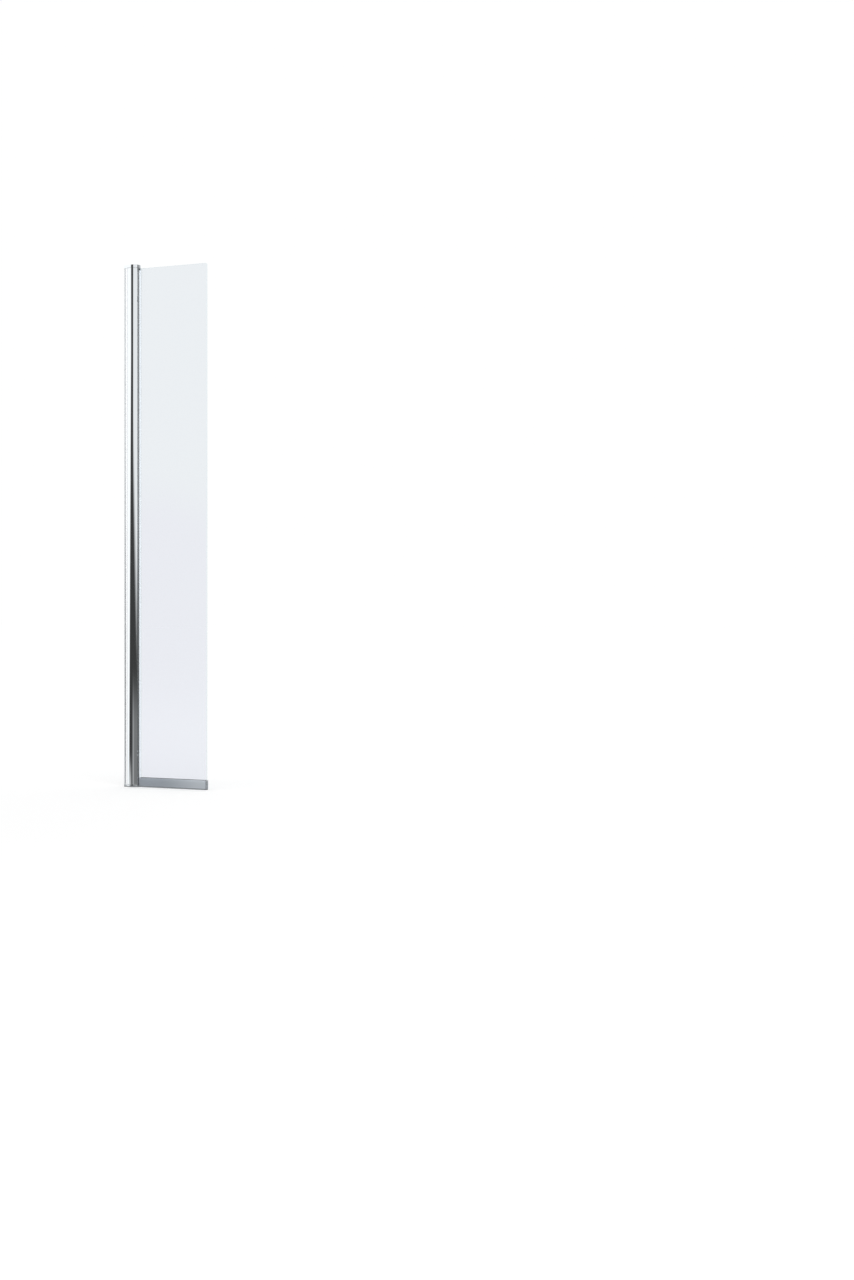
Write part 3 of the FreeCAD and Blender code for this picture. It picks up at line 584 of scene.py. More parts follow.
def tint(sheet, colour, change, amount):
    """A colour that gets lighter and darker with a wire that runs from 0 to 1."""
    dark = tuple(part * (1 - amount) for part in colour) + (1,)
    light = tuple(min(part * (1 + amount), 1) for part in colour) + (1,)
    return sheet.mix_colours(change, dark, light)


def finish_surface(sheet, sockets):
    shader = sheet.add("ShaderNodeBsdfPrincipled", {}, sockets)
    sheet.add("ShaderNodeOutputMaterial", {}, {"Surface": shader})


def bump(sheet, height, strength, distance):
    return sheet.add(
        "ShaderNodeBump", {}, {"Height": height, "Strength": strength, "Distance": distance}
    )


def metal(
    name, colour, roughness, along, density, relief=0.02, polish=1.0, glow=0.0, painted_lit_end=None
):
    """A metal with fine lines along one axis. Less polish is a paler, more matt coat.

    Its roughness varies by a third either way. The painted lit end is a paler colour that it
    turns to towards its far end along X, and glow makes it shine a little: both are painted light.
    """
    material = bpy.data.materials.new(name)
    sheet = NodeSheet(material)
    lines = stretched_noise(sheet, along, density, density / LINE_STRETCH)
    clouds = stretched_noise(sheet, along, CLOUDS_ACROSS, CLOUDS_ALONG)
    gloss = roughness * 0.7 + (lines * 0.6 + clouds * 0.4) * (roughness * 0.6)
    tone = tint(sheet, colour, clouds, CLOUD_DEPTH)
    # Painted light: towards the far end along X the colour turns paler.
    if painted_lit_end:
        place = sheet.add("ShaderNodeTexCoord", output="Object")
        station = sheet.add("ShaderNodeSeparateXYZ", {}, {"Vector": place}, "X")
        paler = sheet.step(station, PALE_FROM, PALE_TO)
        tone = sheet.mix_colours(paler, tone, painted_lit_end + (1,))
    finish_surface(
        sheet,
        {
            "Base Color": tone,
            "Metallic": polish,
            "Roughness": gloss,
            "Normal": bump(sheet, lines, relief, LINE_DEPTH),
            "Emission Color": colour + (1,),
            "Emission Strength": glow,
        },
    )
    return material


def anodised(name, colour, glow=0.0):
    """A pale silver coat, neither quite metal nor quite paint. Its glow is painted light."""
    return metal(name, colour, 0.34, "Z", 2200, relief=0.05, polish=0.2, glow=glow)


# Colour, roughness, then the axis and the density of the lines.
chrome = metal("drawn_chrome", (0.965, 0.968, 0.972), 0.035, "Z", 1800, relief=0.015)
chrome_casting = metal("chromed_casting", (0.962, 0.965, 0.97), 0.05, "Z", 300, relief=0.01)
# Painted shade: the inside of the tube is a dark, dull metal.
shaded_inside = metal("inside_of_tube_painted_shade", (0.16, 0.162, 0.165), 0.55, "Z", 900, relief=0.1)
foot_chrome = metal("chromed_foot", (0.74, 0.75, 0.76), 0.08, "Z", 300, relief=0.01)
channel_coat = anodised("silver_anodised", (0.86, 0.87, 0.88))
# The carrier's glow is painted light, for the light caught between the tube and the wall.
glowing_carrier_coat = anodised("pale_anodised_painted_glow", (0.96, 0.965, 0.97), glow=0.26)
bright_edge = metal("bright_edge_of_carrier", (0.95, 0.955, 0.96), 0.14, "Z", 1200)
# The rail's own colour, and the paler one at its free end, which is painted light.
rail_start, rail_end = (0.54, 0.572, 0.62), (0.82, 0.85, 0.89)
satin_aluminium = metal(
    "satin_anodised_painted_light", rail_start, 0.36, "X", 2600, relief=0.12, painted_lit_end=rail_end
)
stainless = metal("stainless_steel", (0.66, 0.67, 0.68), 0.28, "Z", 900, relief=0.05)
cast_zinc = metal("plain_zinc_casting", (0.55, 0.56, 0.58), 0.5, "Z", 500, relief=0.2)
print("metal finishes ready")

# %% [markdown]
# ## Finishes: rubber and plastic
#
# The gaskets are soft PVC with fine lines from the extruder, grey on the dry side and clear on
# the wet side. The seals beside the tube are pale, and the wiper seal is grey. The clear and the
# pale ones glow a little, as painted light for the light that they pass on. The bushes and the
# washer are moulded acetal, and the pad under the foot is dark rubber.


# %% Rubber and plastic finishes
EXTRUDED_STRETCH = 300
PATCHES_ACROSS = 40
PATCHES_ALONG = 12
PATCH_DEPTH = 0.06
GRAIN_DEPTH = 0.0002


def moulded(name, colour, roughness, grain, relief, along=None, glow=0.0):
    """A rubber or plastic with a grain, or with lines along one axis.

    Its roughness varies by 0.05 either way. Glow is painted light, for the light that it
    passes on.
    """
    material = bpy.data.materials.new(name)
    sheet = NodeSheet(material)
    if along:
        texture = stretched_noise(sheet, along, grain, grain / EXTRUDED_STRETCH)
    else:
        texture = stretched_noise(sheet, "Z", grain, grain, detail=4)
    patches = stretched_noise(sheet, "Z", PATCHES_ACROSS, PATCHES_ALONG)
    finish_surface(
        sheet,
        {
            "Base Color": tint(sheet, colour, patches, PATCH_DEPTH),
            "Roughness": roughness - 0.05 + texture * 0.1,
            "Normal": bump(sheet, texture, relief, GRAIN_DEPTH),
            "Emission Color": colour + (1,),
            "Emission Strength": glow,
        },
    )
    return material


# Colour, roughness, then the density and the strength of the grain.
gasket_grey = moulded("gasket_pvc", (0.13, 0.134, 0.14), 0.34, 1500, 0.2, along="Z")
# The clear gasket and the pale seals glow a little: painted light.
glowing_clear_gasket = moulded(
    "clear_gasket_pvc_painted_glow", (0.84, 0.86, 0.88), 0.3, 1500, 0.2, along="Z", glow=0.72
)
glowing_pale_seal = moulded("seal_pvc_painted_glow", (0.9, 0.91, 0.92), 0.38, 1400, 0.2, along="Z", glow=0.32)
wiper_grey = moulded("wiper_pvc", (0.3, 0.315, 0.335), 0.36, 1400, 0.2, along="X")
strip_grey = moulded("glazing_strip_pvc", (0.09, 0.093, 0.1), 0.42, 1500, 0.2, along="X")
pad_black = moulded("foot_pad_rubber", (0.02, 0.02, 0.022), 0.7, 1600, 0.5)
cap_silver = moulded("rail_cap_plastic", (0.36, 0.385, 0.42), 0.42, 1800, 0.25)
acetal = moulded("acetal", (0.8, 0.8, 0.78), 0.35, 900, 0.1)
block_dark = moulded("setting_block_plastic", (0.03, 0.03, 0.033), 0.55, 900, 0.3)
print("rubber and plastic finishes ready")

# %% [markdown]
# ## Finishes: glass
#
# Clear glass could be a refracting solid, but a pane this flat only tints what is behind it and
# mirrors a little of the studio, more at a low angle. So the faces mix a tinted see-through
# shader with a sharp gloss, by Fresnel. A ray meets the pane twice, so the mirror is only on the
# way in, with the strength of both faces. This also lets light through to the floor, as a real
# pane does. A trace of matt film, in faint streaks, stands for the bloom that no pane is quite
# free of. The polished edge has more of it, and looks paler and more solid, because there the
# eye looks along the pane.


# %% Glass finishes
PANE_TINT = (0.906, 0.925, 0.941, 1)
FILM_COLOUR = (0.86, 0.9, 0.94, 1)
EDGE_TINT = (0.93, 0.96, 0.975, 1)
EDGE_FILM = (0.84, 0.92, 0.95, 1)
GLASS_IOR = 1.52
STREAKS_ACROSS = 9
STREAKS_ALONG = 3


def glass(name, see_through, gloss_shade, film, film_colour):
    """A see-through surface with a gloss and a film, which varies by two fifths either way."""
    material = bpy.data.materials.new(name)
    sheet = NodeSheet(material)
    clear = sheet.add("ShaderNodeBsdfTransparent", {}, {"Color": see_through})
    mirror = sheet.add(
        "ShaderNodeBsdfGlossy", {}, {"Color": grey(gloss_shade), "Roughness": 0.0}
    )
    fresnel = sheet.add("ShaderNodeFresnel", {}, {"IOR": GLASS_IOR})
    leaving = sheet.add("ShaderNodeNewGeometry", output="Backfacing")
    front_gloss = fresnel * (1 - leaving)
    pane_gloss = front_gloss * 2 / (front_gloss + 1)
    surface = sheet.add("ShaderNodeMixShader", {}, {0: pane_gloss, 1: clear, 2: mirror})
    streaks = stretched_noise(sheet, "Z", STREAKS_ACROSS, STREAKS_ALONG, detail=3)
    body = sheet.add("ShaderNodeBsdfDiffuse", {}, {"Color": film_colour})
    share = film * (0.6 + streaks * 0.8)
    surface = sheet.add("ShaderNodeMixShader", {}, {0: share, 1: surface, 2: body})
    sheet.add("ShaderNodeOutputMaterial", {}, {"Surface": surface})
    return material


pane_clear = glass("clear_toughened_glass", PANE_TINT, 0.95, film=0.012, film_colour=FILM_COLOUR)
pane_edge = glass("polished_glass_edge", EDGE_TINT, 1.0, film=0.3, film_colour=EDGE_FILM)
print("glass finishes ready")

# %% [markdown]
# ## The hinge tube
#
# The tube is one extrusion: a round wall, a channel that takes the glass, and a shallow step
# beside it for the lips of the gaskets. A cylinder with many sides is inset at both ends and
# bridged, which makes the bore. The jaw for the glass is joined on, and the channel and the step
# are cut out of both. Its ends are beveled first, so that a thin bright line shows where it
# meets the plugs. The bore and the channel get a dark, dull metal: dull where plating hardly
# reaches, and dark as painted shade.

# %% Hinge tube
TUBE_RADIUS = 20
TUBE_WALL = 1.8
CHANNEL_BACK = 6.45
CHANNEL_SEAT = 8.05
CHANNEL_SIDE = 6.3
CHANNEL_HALF_GAP = 4.7
JAW_BACK = 15.35
JAW_SIDE = 7.7
JAW_FRONT = 17.48
STEP_FLOOR = 17.35
STEP_HALF_WIDTH = 6.4
SHADED_BORE_RADIUS = 18.4
PAST_TUBE = 24
ROUND_SIDES = 256
TUBE_BEVEL = 0.25

tube_low, tube_high = (corner.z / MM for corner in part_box("hinge_tube"))


def level_face(height):
    """Test for level faces at a height in millimetres."""
    return lambda middle, face: abs(middle.z - height * MM) < 2e-5 and abs(face.normal.z) > 0.9


tube = rod(TUBE_RADIUS, (0, 0, tube_low), (0, 0, tube_high), ROUND_SIDES)
edit(tube)
pick("FACE", lambda middle, face: abs(face.normal.z) > 0.9)
bpy.ops.mesh.bevel(offset=TUBE_BEVEL * MM, segments=2)
pick("FACE", lambda middle, face: abs(face.normal.z) > 0.99)
bpy.ops.mesh.inset(thickness=(TUBE_WALL - TUBE_BEVEL) * MM)
bpy.ops.mesh.bridge_edge_loops()
leave_edit()

jaw_low = (CHANNEL_BACK, -CHANNEL_SIDE, tube_low)
jaw = block(jaw_low, (JAW_FRONT, CHANNEL_SIDE, tube_high))
step_wall = block((JAW_BACK, -JAW_SIDE, tube_low), (JAW_FRONT, JAW_SIDE, tube_high))
combine(jaw, step_wall, "UNION")
combine(tube, jaw, "UNION")
below, above = tube_low - 1, tube_high + 1
slot = block((CHANNEL_SEAT, -CHANNEL_HALF_GAP, below), (PAST_TUBE, CHANNEL_HALF_GAP, above))
combine(tube, slot, "DIFFERENCE")
step = block((STEP_FLOOR, -STEP_HALF_WIDTH, below), (PAST_TUBE, STEP_HALF_WIDTH, above))
combine(tube, step, "DIFFERENCE")
smooth(tube, angle=20)
settle(tube, "chrome_hinge_tube")
tube.data.materials.clear()
tube.data.materials.append(chrome)


# The bore and the channel take the painted shade.
def in_shaded_bore(middle, face):
    return max(math.hypot(*corner.co.xy) for corner in face.verts) < SHADED_BORE_RADIUS * MM


finish_some(tube, shaded_inside, in_shaded_bore)
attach(tube, "screen")
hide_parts("hinge_tube")
print(tube.name, len(tube.data.polygons), "faces")

# %% [markdown]
# ## Clamp covers
#
# Near both ends a thin curved plate lies on the round of the tube, on the dry side, at the edge
# of the step. It is the cover of a screw that clamps the glass, and its edge is rounded.

# %% Clamp covers
CLAMP_INSIDE = 19.9
CLAMP_OUTSIDE = 20.35
CLAMP_START = -32
CLAMP_END = -17
CLAMP_HEIGHT = 14
CLAMP_MARGIN = 82

for name, height in (
    ("low", tube_low + CLAMP_MARGIN),
    ("high", tube_high - CLAMP_MARGIN - CLAMP_HEIGHT),
):
    outside = arc((0, 0), CLAMP_OUTSIDE, CLAMP_START, CLAMP_END, steps=12)
    inside = arc((0, 0), CLAMP_INSIDE, CLAMP_END, CLAMP_START, steps=12)
    corners = flat([*outside, *inside], height * MM)
    cover = pulled("clamp_cover_" + name, corners, (0, 0, CLAMP_HEIGHT * MM))
    soften(cover, 0.18, segments=3, angle=50)
    smooth(cover)
    cover.data.materials.append(foot_chrome)
    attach(cover, "screen")
    print(cover.name, "from", round(height, 2), "mm up")

# %% [markdown]
# ## Cap and foot
#
# Both castings have the same plan: a round over the tube with a neck back to the wall, blended
# where they meet. The plan is drawn once as a function, because the rubber pad under the foot
# follows it too. The cap is a hollow cover with a rounded top. The foot is solid, with a fine
# chamfer round its top.

# %% Plan of cap, foot and pad
CAP_RADIUS = 20.4
NECK_HALF_WIDTH = 12
NECK_BLEND = 2
WALL_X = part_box("wall_channel")[0].x / MM


def keyhole(radius, half_neck, back, blend):
    """A round about the origin with a neck back to the wall, and a blend in each inner corner."""
    centre_y = half_neck + blend
    centre_x = -math.sqrt((radius + blend) ** 2 - centre_y**2)
    touch = math.degrees(math.atan2(centre_y, centre_x))
    upper_blend = arc((centre_x, centre_y), blend, touch - 180, -90, steps=6)
    lower_blend = arc((centre_x, -centre_y), blend, 90, 180 - touch, steps=6)
    big_round = arc((0, 0), radius, -touch, touch, steps=160)
    return [(back, -half_neck), *lower_blend, *big_round[1:-1], *upper_blend, (back, half_neck)]


def bevel_rim(height, width, segments):
    """Bevel the edges round the plan at a height, apart from the one on the wall."""

    def on_rim(middle, edge):
        return abs(middle.z - height * MM) < 1e-6 and middle.x > (WALL_X + 0.1) * MM

    pick("EDGE", on_rim)
    bpy.ops.mesh.bevel(offset=width * MM, segments=segments, profile=0.5, clamp_overlap=False)


plan = keyhole(CAP_RADIUS, NECK_HALF_WIDTH, WALL_X, NECK_BLEND)
print("plan has", len(plan), "corners")

# %% Top cap
CAP_WALL = 1.2
CAP_TOP = 1.6
CAP_ROUND = 1.1

cap_low, cap_high = (corner.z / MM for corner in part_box("top_cap"))
cap = pulled("chrome_top_cap", flat(plan, cap_low * MM), (0, 0, (cap_high - cap_low) * MM))
edit(cap)
pick("FACE", level_face(cap_low))
bpy.ops.mesh.inset(thickness=CAP_WALL * MM)
bpy.ops.mesh.extrude_region_move(
    TRANSFORM_OT_translate={"value": (0, 0, (cap_high - cap_low - CAP_TOP) * MM)}
)
bevel_rim(cap_high, CAP_ROUND, segments=6)
bpy.ops.mesh.select_all(action="SELECT")
bpy.ops.mesh.normals_make_consistent(inside=False)
leave_edit()
smooth(cap, angle=30)
cap.data.materials.append(chrome_casting)
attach(cap, "wall_post")
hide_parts("top_cap")
print(cap.name, len(cap.data.polygons), "faces")

# %% Foot
FOOT_CHAMFER = 0.5
FOOT_ARRIS = 0.2

foot_low, foot_high = (corner.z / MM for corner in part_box("bottom_bracket"))
foot = pulled("chrome_foot", flat(plan, foot_low * MM), (0, 0, (foot_high - foot_low) * MM))
edit(foot)
bevel_rim(foot_high, FOOT_CHAMFER, segments=3)
bevel_rim(foot_low, FOOT_ARRIS, segments=2)
leave_edit()
smooth(foot, angle=30)
foot.data.materials.append(foot_chrome)
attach(foot, "wall_post")
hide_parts("bottom_bracket")
print(foot.name, len(foot.data.polygons), "faces")

# %% Foot pad
PAD_RADIUS = 19.8
PAD_HALF_WIDTH = 11.4
PAD_BLEND = 1.5

pad_low, pad_high = (corner.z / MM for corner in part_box("foot_pad"))
pad_plan = keyhole(PAD_RADIUS, PAD_HALF_WIDTH, WALL_X, PAD_BLEND)
pad = pulled("rubber_foot_pad", flat(pad_plan, pad_low * MM), (0, 0, (pad_high - pad_low) * MM))
soften(pad, 0.25)
smooth(pad)
pad.data.materials.append(pad_black)
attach(pad, "wall_post")
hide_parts("foot_pad")
print(pad.name, len(pad.data.polygons), "faces")

# %% [markdown]
# ## Wall channel and carrier
#
# The channel is a bar with a long leg on the wet side, where screws hold the carrier, and a
# short leg on the dry side. It is drawn in one outline, softened and drilled. The carrier is a
# hollow bar whose front is scooped out to follow the tube. Beside the short leg it keeps a
# bright edge, which shows as a thin line that darkens downwards.

# %% Wall channel
CHANNEL_WEB = 1.8
LEG = 1.4
SHORT_LEG = 3.2
LONG_LEG_END = -17.78
PROFILE_SCREW_X = -22.4
PROFILE_SCREW_RADIUS = 1.5
PROFILE_SCREW_PITCH = 572.2
FIXING_RADIUS = 2.5
FIXING_PITCH = 440

profile_low, profile_high = (corner.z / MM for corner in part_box("wall_channel"))
middle_height = (profile_low + profile_high) / 2
screw_heights = [middle_height + PROFILE_SCREW_PITCH * count for count in (-1, 0, 1)]
fixing_heights = [middle_height + FIXING_PITCH * count for count in (-1.5, -0.5, 0.5, 1.5)]

half = NECK_HALF_WIDTH
inside = half - LEG
web = WALL_X + CHANNEL_WEB
channel_outline = [
    (WALL_X, -half),
    (WALL_X + SHORT_LEG, -half),
    (WALL_X + SHORT_LEG, -inside),
    (web, -inside),
    (web, inside),
    (LONG_LEG_END, inside),
    (LONG_LEG_END, half),
    (WALL_X, half),
]
profile_pull = (0, 0, (profile_high - profile_low) * MM)
channel = pulled("bright_wall_channel", flat(channel_outline, profile_low * MM), profile_pull)
soften(channel, 0.3, segments=3)
for height in fixing_heights:
    start = (WALL_X - 1, 0, height)
    combine(channel, rod(FIXING_RADIUS, start, (web + 1, 0, height), sides=48), "DIFFERENCE")
for height in screw_heights:
    start = (PROFILE_SCREW_X, inside - 1, height)
    end = (PROFILE_SCREW_X, half + 1, height)
    combine(channel, rod(PROFILE_SCREW_RADIUS, start, end, sides=32), "DIFFERENCE")
smooth(channel, angle=32)
channel.data.materials.append(channel_coat)
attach(channel, "wall_post")
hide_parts("wall_channel")
print(channel.name, len(channel.data.polygons), "faces")

# %% Carrier
CARRIER_BACK = -24
CARRIER_HALF = 10.4
CARRIER_WALL = 1.4
CRADLE_RADIUS = 20.6
CRADLE_WALL = 1.6
CRADLE_STEPS = 24
GROOVE_SIDE = 8.6
GROOVE_WIDTH = 1.2
GROOVE_FLOOR = -19.92
BRIGHT_EDGE = -20.65


def cradle_arc(radius, half_width):
    """The part of a circle about the tube that lies behind it, from dry to wet side."""
    angle = math.degrees(math.asin(half_width / radius))
    return arc((0, 0), radius, 180 + angle, 180 - angle, CRADLE_STEPS)


wall_inside = CARRIER_HALF - CARRIER_WALL
carrier_outline = [
    (CARRIER_BACK, -CARRIER_HALF),
    (BRIGHT_EDGE, -CARRIER_HALF),
    *cradle_arc(CRADLE_RADIUS, CARRIER_HALF),
    (CARRIER_BACK, CARRIER_HALF),
    (CARRIER_BACK, wall_inside),
    *reversed(cradle_arc(CRADLE_RADIUS + CRADLE_WALL, wall_inside)),
    (CARRIER_BACK, -wall_inside),
]
carrier = pulled("bright_carrier", flat(carrier_outline, profile_low * MM), profile_pull)
for side in (-GROOVE_SIDE, GROOVE_SIDE):
    low = (GROOVE_FLOOR, side - GROOVE_WIDTH / 2, profile_low - 1)
    high = (GROOVE_FLOOR + 4, side + GROOVE_WIDTH / 2, profile_high + 1)
    combine(carrier, block(low, high), "DIFFERENCE")
soften(carrier, 0.15, angle=50)
smooth(carrier, angle=20)
carrier.data.materials.append(glowing_carrier_coat)


def on_bright_edge(middle, face):
    return middle.y < (0.1 - CARRIER_HALF) * MM and middle.x < BRIGHT_EDGE * MM


finish_some(carrier, bright_edge, on_bright_edge)
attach(carrier, "wall_post")
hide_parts("carrier_profile")
print(carrier.name, len(carrier.data.polygons), "faces")

# %% Tube seals
SEAL_RADIUS = 20.3
NOSE_STEPS = 8
NOSE_DEPTH = 0.16


def tube_seal(name, node, side):
    """A strip in the carrier's groove, with a rounded nose towards the tube."""
    low_y = side - GROOVE_WIDTH / 2
    nose = []
    for index in range(NOSE_STEPS + 1):
        y = low_y + GROOVE_WIDTH * index / NOSE_STEPS
        lean = NOSE_DEPTH * (2 * index / NOSE_STEPS - 1) ** 2
        nose.append((-math.sqrt(SEAL_RADIUS**2 - y**2) - lean, y))
    corners = [(GROOVE_FLOOR, low_y), *nose, (GROOVE_FLOOR, low_y + GROOVE_WIDTH)]
    strip = pulled(name, flat(corners, profile_low * MM), profile_pull)
    smooth(strip)
    strip.data.materials.append(glowing_pale_seal)
    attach(strip, "wall_post")
    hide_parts(node)


tube_seal("tube_seal_dry_side", "tube_seal_front", -GROOVE_SIDE)
tube_seal("tube_seal_wet_side", "tube_seal_back", GROOVE_SIDE)
print("tube seals made")

# %% [markdown]
# ## Screw covers
#
# Three small covers snap over the screws on the wet side. Each is a short disc whose outer edge
# is beveled to a low dome, and whose underside is inset and pushed in to clear the head of the
# screw.

# %% Screw covers
COVER_RADIUS = 3.4
COVER_HEIGHT = 2.2
COVER_WALL = 0.5
COVER_DOME = 0.9
HEAD_RADIUS = 2.9


def screw_cover(name, height):
    start = (PROFILE_SCREW_X, half, height)
    end = (PROFILE_SCREW_X, half + COVER_HEIGHT, height)
    cover = rod(COVER_RADIUS, start, end, sides=48)
    edit(cover)
    pick("FACE", lambda middle, face: face.normal.y > 0.99)
    bpy.ops.mesh.bevel(offset=COVER_DOME * MM, segments=6, profile=0.6)
    pick("FACE", lambda middle, face: face.normal.y < -0.99)
    bpy.ops.mesh.inset(thickness=(COVER_RADIUS - HEAD_RADIUS) * MM)
    bpy.ops.mesh.extrude_region_move(
        TRANSFORM_OT_translate={"value": (0, (COVER_HEIGHT - COVER_WALL) * MM, 0)}
    )
    leave_edit()
    smooth(cover)
    settle(cover, name)
    cover.data.materials.append(chrome_casting)
    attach(cover, "wall_post")
    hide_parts("screw_caps")


for name, height in zip(("low", "middle", "high"), screw_heights):
    screw_cover("screw_cover_" + name, height)
print("screw covers at", screw_heights)

# %% [markdown]
# ## The pane
#
# The pane is drawn from the side with its free upper corner rounded, and pulled out to its
# thickness. Its long edges get a fine ground arris. The faces and the edge then take their own
# finishes.

# %% Glass pane
GLASS_CORNER = 4
ARRIS = 0.6

glass_low, glass_high = (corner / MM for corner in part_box("glass_panel"))
corner_centre = (glass_high.x - GLASS_CORNER, glass_high.z - GLASS_CORNER)
side_view = [
    (glass_low.x, glass_low.z),
    (glass_high.x, glass_low.z),
    *arc(corner_centre, GLASS_CORNER, 0, 90, steps=10),
    (glass_low.x, glass_high.z),
]
pane_corners = [Vector((x * MM, glass_low.y * MM, z * MM)) for x, z in side_view]
pane = pulled("glass_pane", pane_corners, (0, (glass_high.y - glass_low.y) * MM, 0))
soften(pane, ARRIS)
smooth(pane, angle=30)
pane.data.materials.append(pane_clear)
finish_some(pane, pane_edge, lambda middle, face: abs(face.normal.y) < 0.99)
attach(pane, "screen")
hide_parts("glass_panel")
print(pane.name, "from", tuple(glass_low), "to", tuple(glass_high))

# %% [markdown]
# ## Glazing gaskets
#
# Each gasket has a stem that wedges the glass in the channel and a lip that fills the step of
# the tube. The lip follows the round of the tube, so the post looks round up to the glass. They
# stop a little short of the top, which leaves the small dark gap under the cap.

# %% Glazing gaskets
LIP_RADIUS = 19.8
HALF_GLASS = 3

stem_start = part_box("glazing_gasket_back")[0].x / MM
gasket_low, gasket_high = (corner.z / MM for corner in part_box("glazing_gasket_back"))


def glazing_gasket(name, node, side, finish):
    lip_start = math.degrees(math.asin(STEP_HALF_WIDTH / LIP_RADIUS))
    lip_end = math.degrees(math.asin(HALF_GLASS / LIP_RADIUS))
    section = [
        (stem_start, HALF_GLASS),
        (stem_start, CHANNEL_HALF_GAP),
        (STEP_FLOOR, CHANNEL_HALF_GAP),
        (STEP_FLOOR, STEP_HALF_WIDTH),
        *arc((0, 0), LIP_RADIUS, lip_start, lip_end, steps=10),
    ]
    corners = flat([(x, y * side) for x, y in section], gasket_low * MM)
    gasket = pulled(name, corners, (0, 0, (gasket_high - gasket_low) * MM))
    soften(gasket, 0.2, angle=50)
    smooth(gasket)
    gasket.data.materials.append(finish)
    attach(gasket, "screen")
    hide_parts(node)


glazing_gasket("gasket_dry_side", "glazing_gasket_front", -1, gasket_grey)
glazing_gasket("gasket_wet_side", "glazing_gasket_back", 1, glowing_clear_gasket)
print("gaskets from", gasket_low, "to", gasket_high)

# %% [markdown]
# ## The bottom rail
#
# The rail is a satin extrusion with two chambers: the upper one grips the glass in a U of soft
# strip, and the lower one holds the bead of the wiper seal through a slot. Its long edges are
# rounded. A moulded cap closes each end.

# %% Bottom rail
RAIL_HALF = 6.5
RAIL_INSIDE = 5
RAIL_SLOT = 1.8
RAIL_ROUND = 0.8
CHAMBER_FLOOR = 5
WEB_BOTTOM = 10
WEB_TOP = 11.5

rail_low, rail_high = (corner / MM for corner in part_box("bottom_rail"))


def rounded_corner(y, z, turn_y, turn_z):
    """A small arc in place of a corner; the turns point from the corner into the section."""
    centre = (y + turn_y * RAIL_ROUND, z + turn_z * RAIL_ROUND)
    middle = math.degrees(math.atan2(-turn_z, -turn_y))
    return arc(centre, RAIL_ROUND, middle - 45, middle + 45, steps=5)


def other_half(points):
    """The points of a half section on its other side, in the order that closes the outline."""
    return [(-y, z) for y, z in reversed(points)]


half_section = [
    (RAIL_SLOT, rail_low.z),
    *rounded_corner(RAIL_HALF, rail_low.z, -1, 1),
    *rounded_corner(RAIL_HALF, rail_high.z, -1, -1),
    (RAIL_INSIDE, rail_high.z),
    (RAIL_INSIDE, WEB_TOP),
]
lower_chamber = [
    (RAIL_INSIDE, WEB_BOTTOM),
    (RAIL_INSIDE, CHAMBER_FLOOR),
    (RAIL_SLOT, CHAMBER_FLOOR),
]
outer_section = [*half_section, *other_half(half_section)]
rail_section = [*outer_section, *other_half(lower_chamber), *lower_chamber]
rail_pull = ((rail_high.x - rail_low.x) * MM, 0, 0)
rail = pulled("satin_bottom_rail", upright(rail_section, rail_low.x * MM), rail_pull)
smooth(rail, angle=32)
rail.data.materials.append(satin_aluminium)
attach(rail, "screen")
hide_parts("bottom_rail")
print(rail.name, len(rail.data.polygons), "faces")

# %% Glazing strip
LIP_COVER = 5.6

strip_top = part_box("rail_gasket")[1].z / MM
strip_half = [
    (RAIL_INSIDE, WEB_TOP),
    (RAIL_INSIDE, rail_high.z),
    (LIP_COVER, rail_high.z),
    (LIP_COVER - 0.2, rail_high.z + 0.35),
    (LIP_COVER - 1.1, strip_top - 0.1),
    (HALF_GLASS, strip_top),
    (HALF_GLASS, glass_low.z),
]
strip_section = [*strip_half, *other_half(strip_half)]
strip = pulled("rail_glazing_strip", upright(strip_section, rail_low.x * MM), rail_pull)
smooth(strip)
strip.data.materials.append(strip_grey)
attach(strip, "screen")
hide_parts("rail_gasket")
print(strip.name, len(strip.data.polygons), "faces")

# %% Rail end caps
NOTCH_HALF = 3.1
NOTCH_FLOOR = 12.9
PEG_LOW = 6.9
PEG_HIGH = 9.9
PEG_HALF = 4.9

plate_half = [
    (0, rail_low.z),
    *rounded_corner(RAIL_HALF, rail_low.z, -1, 1),
    *rounded_corner(RAIL_HALF, rail_high.z, -1, -1),
    (NOTCH_HALF, rail_high.z),
    (NOTCH_HALF, NOTCH_FLOOR),
]
plate_section = [*plate_half, *other_half(plate_half[1:])]


def rail_cap(name, node, plate_start, plate_end, peg_start, peg_end):
    length = ((plate_end - plate_start) * MM, 0, 0)
    cap = pulled(name, upright(plate_section, plate_start * MM), length)
    soften(cap, 0.3, segments=3)
    peg = block((peg_start, -PEG_HALF, PEG_LOW), (peg_end, PEG_HALF, PEG_HIGH))
    soften(peg, 0.3)
    combine(cap, peg, "UNION")
    smooth(cap)
    cap.data.materials.clear()
    cap.data.materials.append(cap_silver)
    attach(cap, "screen")
    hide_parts(node)


inner_low, inner_high = (corner.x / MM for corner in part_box("rail_inner_cap"))
outer_low, outer_high = (corner.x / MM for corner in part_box("rail_end_cap"))
rail_cap("rail_cap_by_post", "rail_inner_cap", inner_low, rail_low.x, rail_low.x - 1, inner_high)
rail_cap("rail_cap_free_end", "rail_end_cap", rail_high.x, outer_high, outer_low, rail_high.x + 1)
print("rail caps made")

# %% Wiper seal
PLATE_HALF = 4.6
FIN_THICKNESS = 0.9
FIN_SPREAD = 1.4
FIN_CURL = 1.8
FIN_TAPER = 0.35
FIN_STEPS = 8
FIN_ROOT = 3
ROOT_STEP = 0.6
BEAD_HALF = 4.7
BEAD_TOP = 6.8

wiper_low, wiper_high = (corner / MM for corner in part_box("wiper_seal"))
plate_low = rail_low.z - FIN_THICKNESS


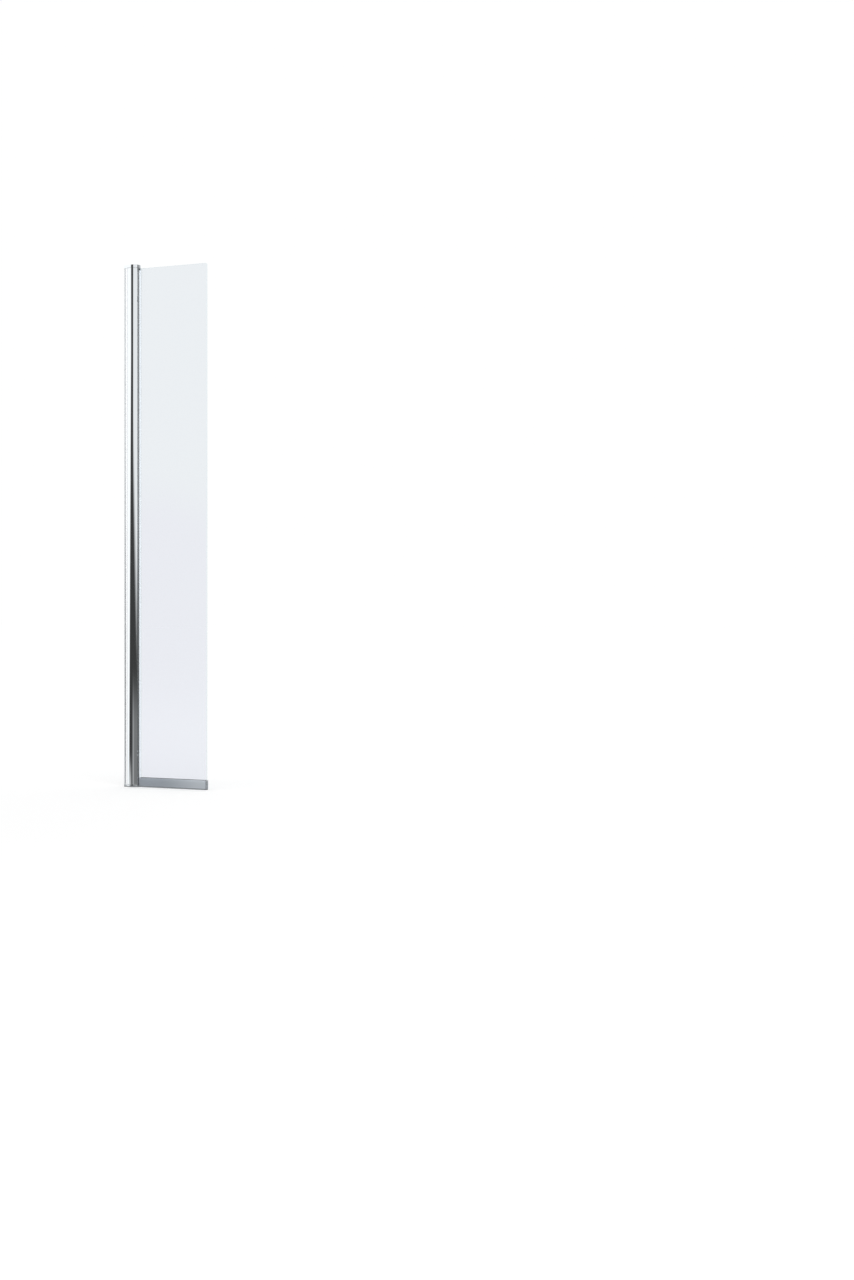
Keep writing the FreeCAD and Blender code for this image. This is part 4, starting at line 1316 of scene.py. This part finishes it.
def fin_side(start_y):
    """Points down the outer side of a fin, which curls outwards towards its tip."""
    points = []
    for index in range(FIN_STEPS + 1):
        share = index / FIN_STEPS
        y = start_y + FIN_SPREAD * share**FIN_CURL
        points.append((y, rail_low.z + (wiper_low.z - rail_low.z) * share))
    return points


outer_side = fin_side(PLATE_HALF)
free_part = outer_side[FIN_ROOT:]
inner_side = [
    (y - FIN_THICKNESS + FIN_TAPER * index / len(free_part), z)
    for index, (y, z) in enumerate(free_part)
]
root = (PLATE_HALF - FIN_THICKNESS - ROOT_STEP, plate_low)
fins_half = [*outer_side, *reversed(inner_side), root]
fins_section = [*fins_half, *other_half(fins_half)]
fins_pull = ((wiper_high.x - wiper_low.x) * MM, 0, 0)
wiper = pulled("wiper_strip", upright(fins_section, wiper_low.x * MM), fins_pull)
bead_section = [
    (-RAIL_SLOT, plate_low + 0.1),
    (RAIL_SLOT, plate_low + 0.1),
    (RAIL_SLOT, CHAMBER_FLOOR),
    (BEAD_HALF, CHAMBER_FLOOR),
    (BEAD_HALF, BEAD_TOP),
    (-BEAD_HALF, BEAD_TOP),
    (-BEAD_HALF, CHAMBER_FLOOR),
    (-RAIL_SLOT, CHAMBER_FLOOR),
]
bead = pulled("bead", upright(bead_section, rail_low.x * MM), rail_pull)
combine(wiper, bead, "UNION")
smooth(wiper)
wiper.data.materials.clear()
wiper.data.materials.append(wiper_grey)
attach(wiper, "screen")
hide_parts("wiper_seal")
print(wiper.name, len(wiper.data.polygons), "faces")

# %% [markdown]
# ## Parts that keep their measured shape
#
# Pins, bushes, plugs and screws are exact as measured, and most of them are hidden. They only
# need their finishes. The flanges of the plugs show as thin chrome discs at both ends of the
# tube.

# %% Finishes for the measured parts
measured_finishes = [
    (chrome_casting, ["top_end_plug", "bottom_end_plug"]),
    (cast_zinc, ["top_bracket"]),
    (acetal, ["top_bush", "bottom_bush", "thrust_washer"]),
    (block_dark, ["setting_blocks"]),
    (stainless, ["top_pivot_pin", "bottom_pivot_pin", "profile_screws"]),
    (stainless, ["top_plug_screws", "bottom_plug_screws"]),
    (stainless, ["top_bracket_screws", "bottom_bracket_screws"]),
]
for finish, nodes in measured_finishes:
    for node in nodes:
        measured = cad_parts[node]
        measured.data.materials.clear()
        measured.data.materials.append(finish)
    print(finish.name, "on", *nodes)
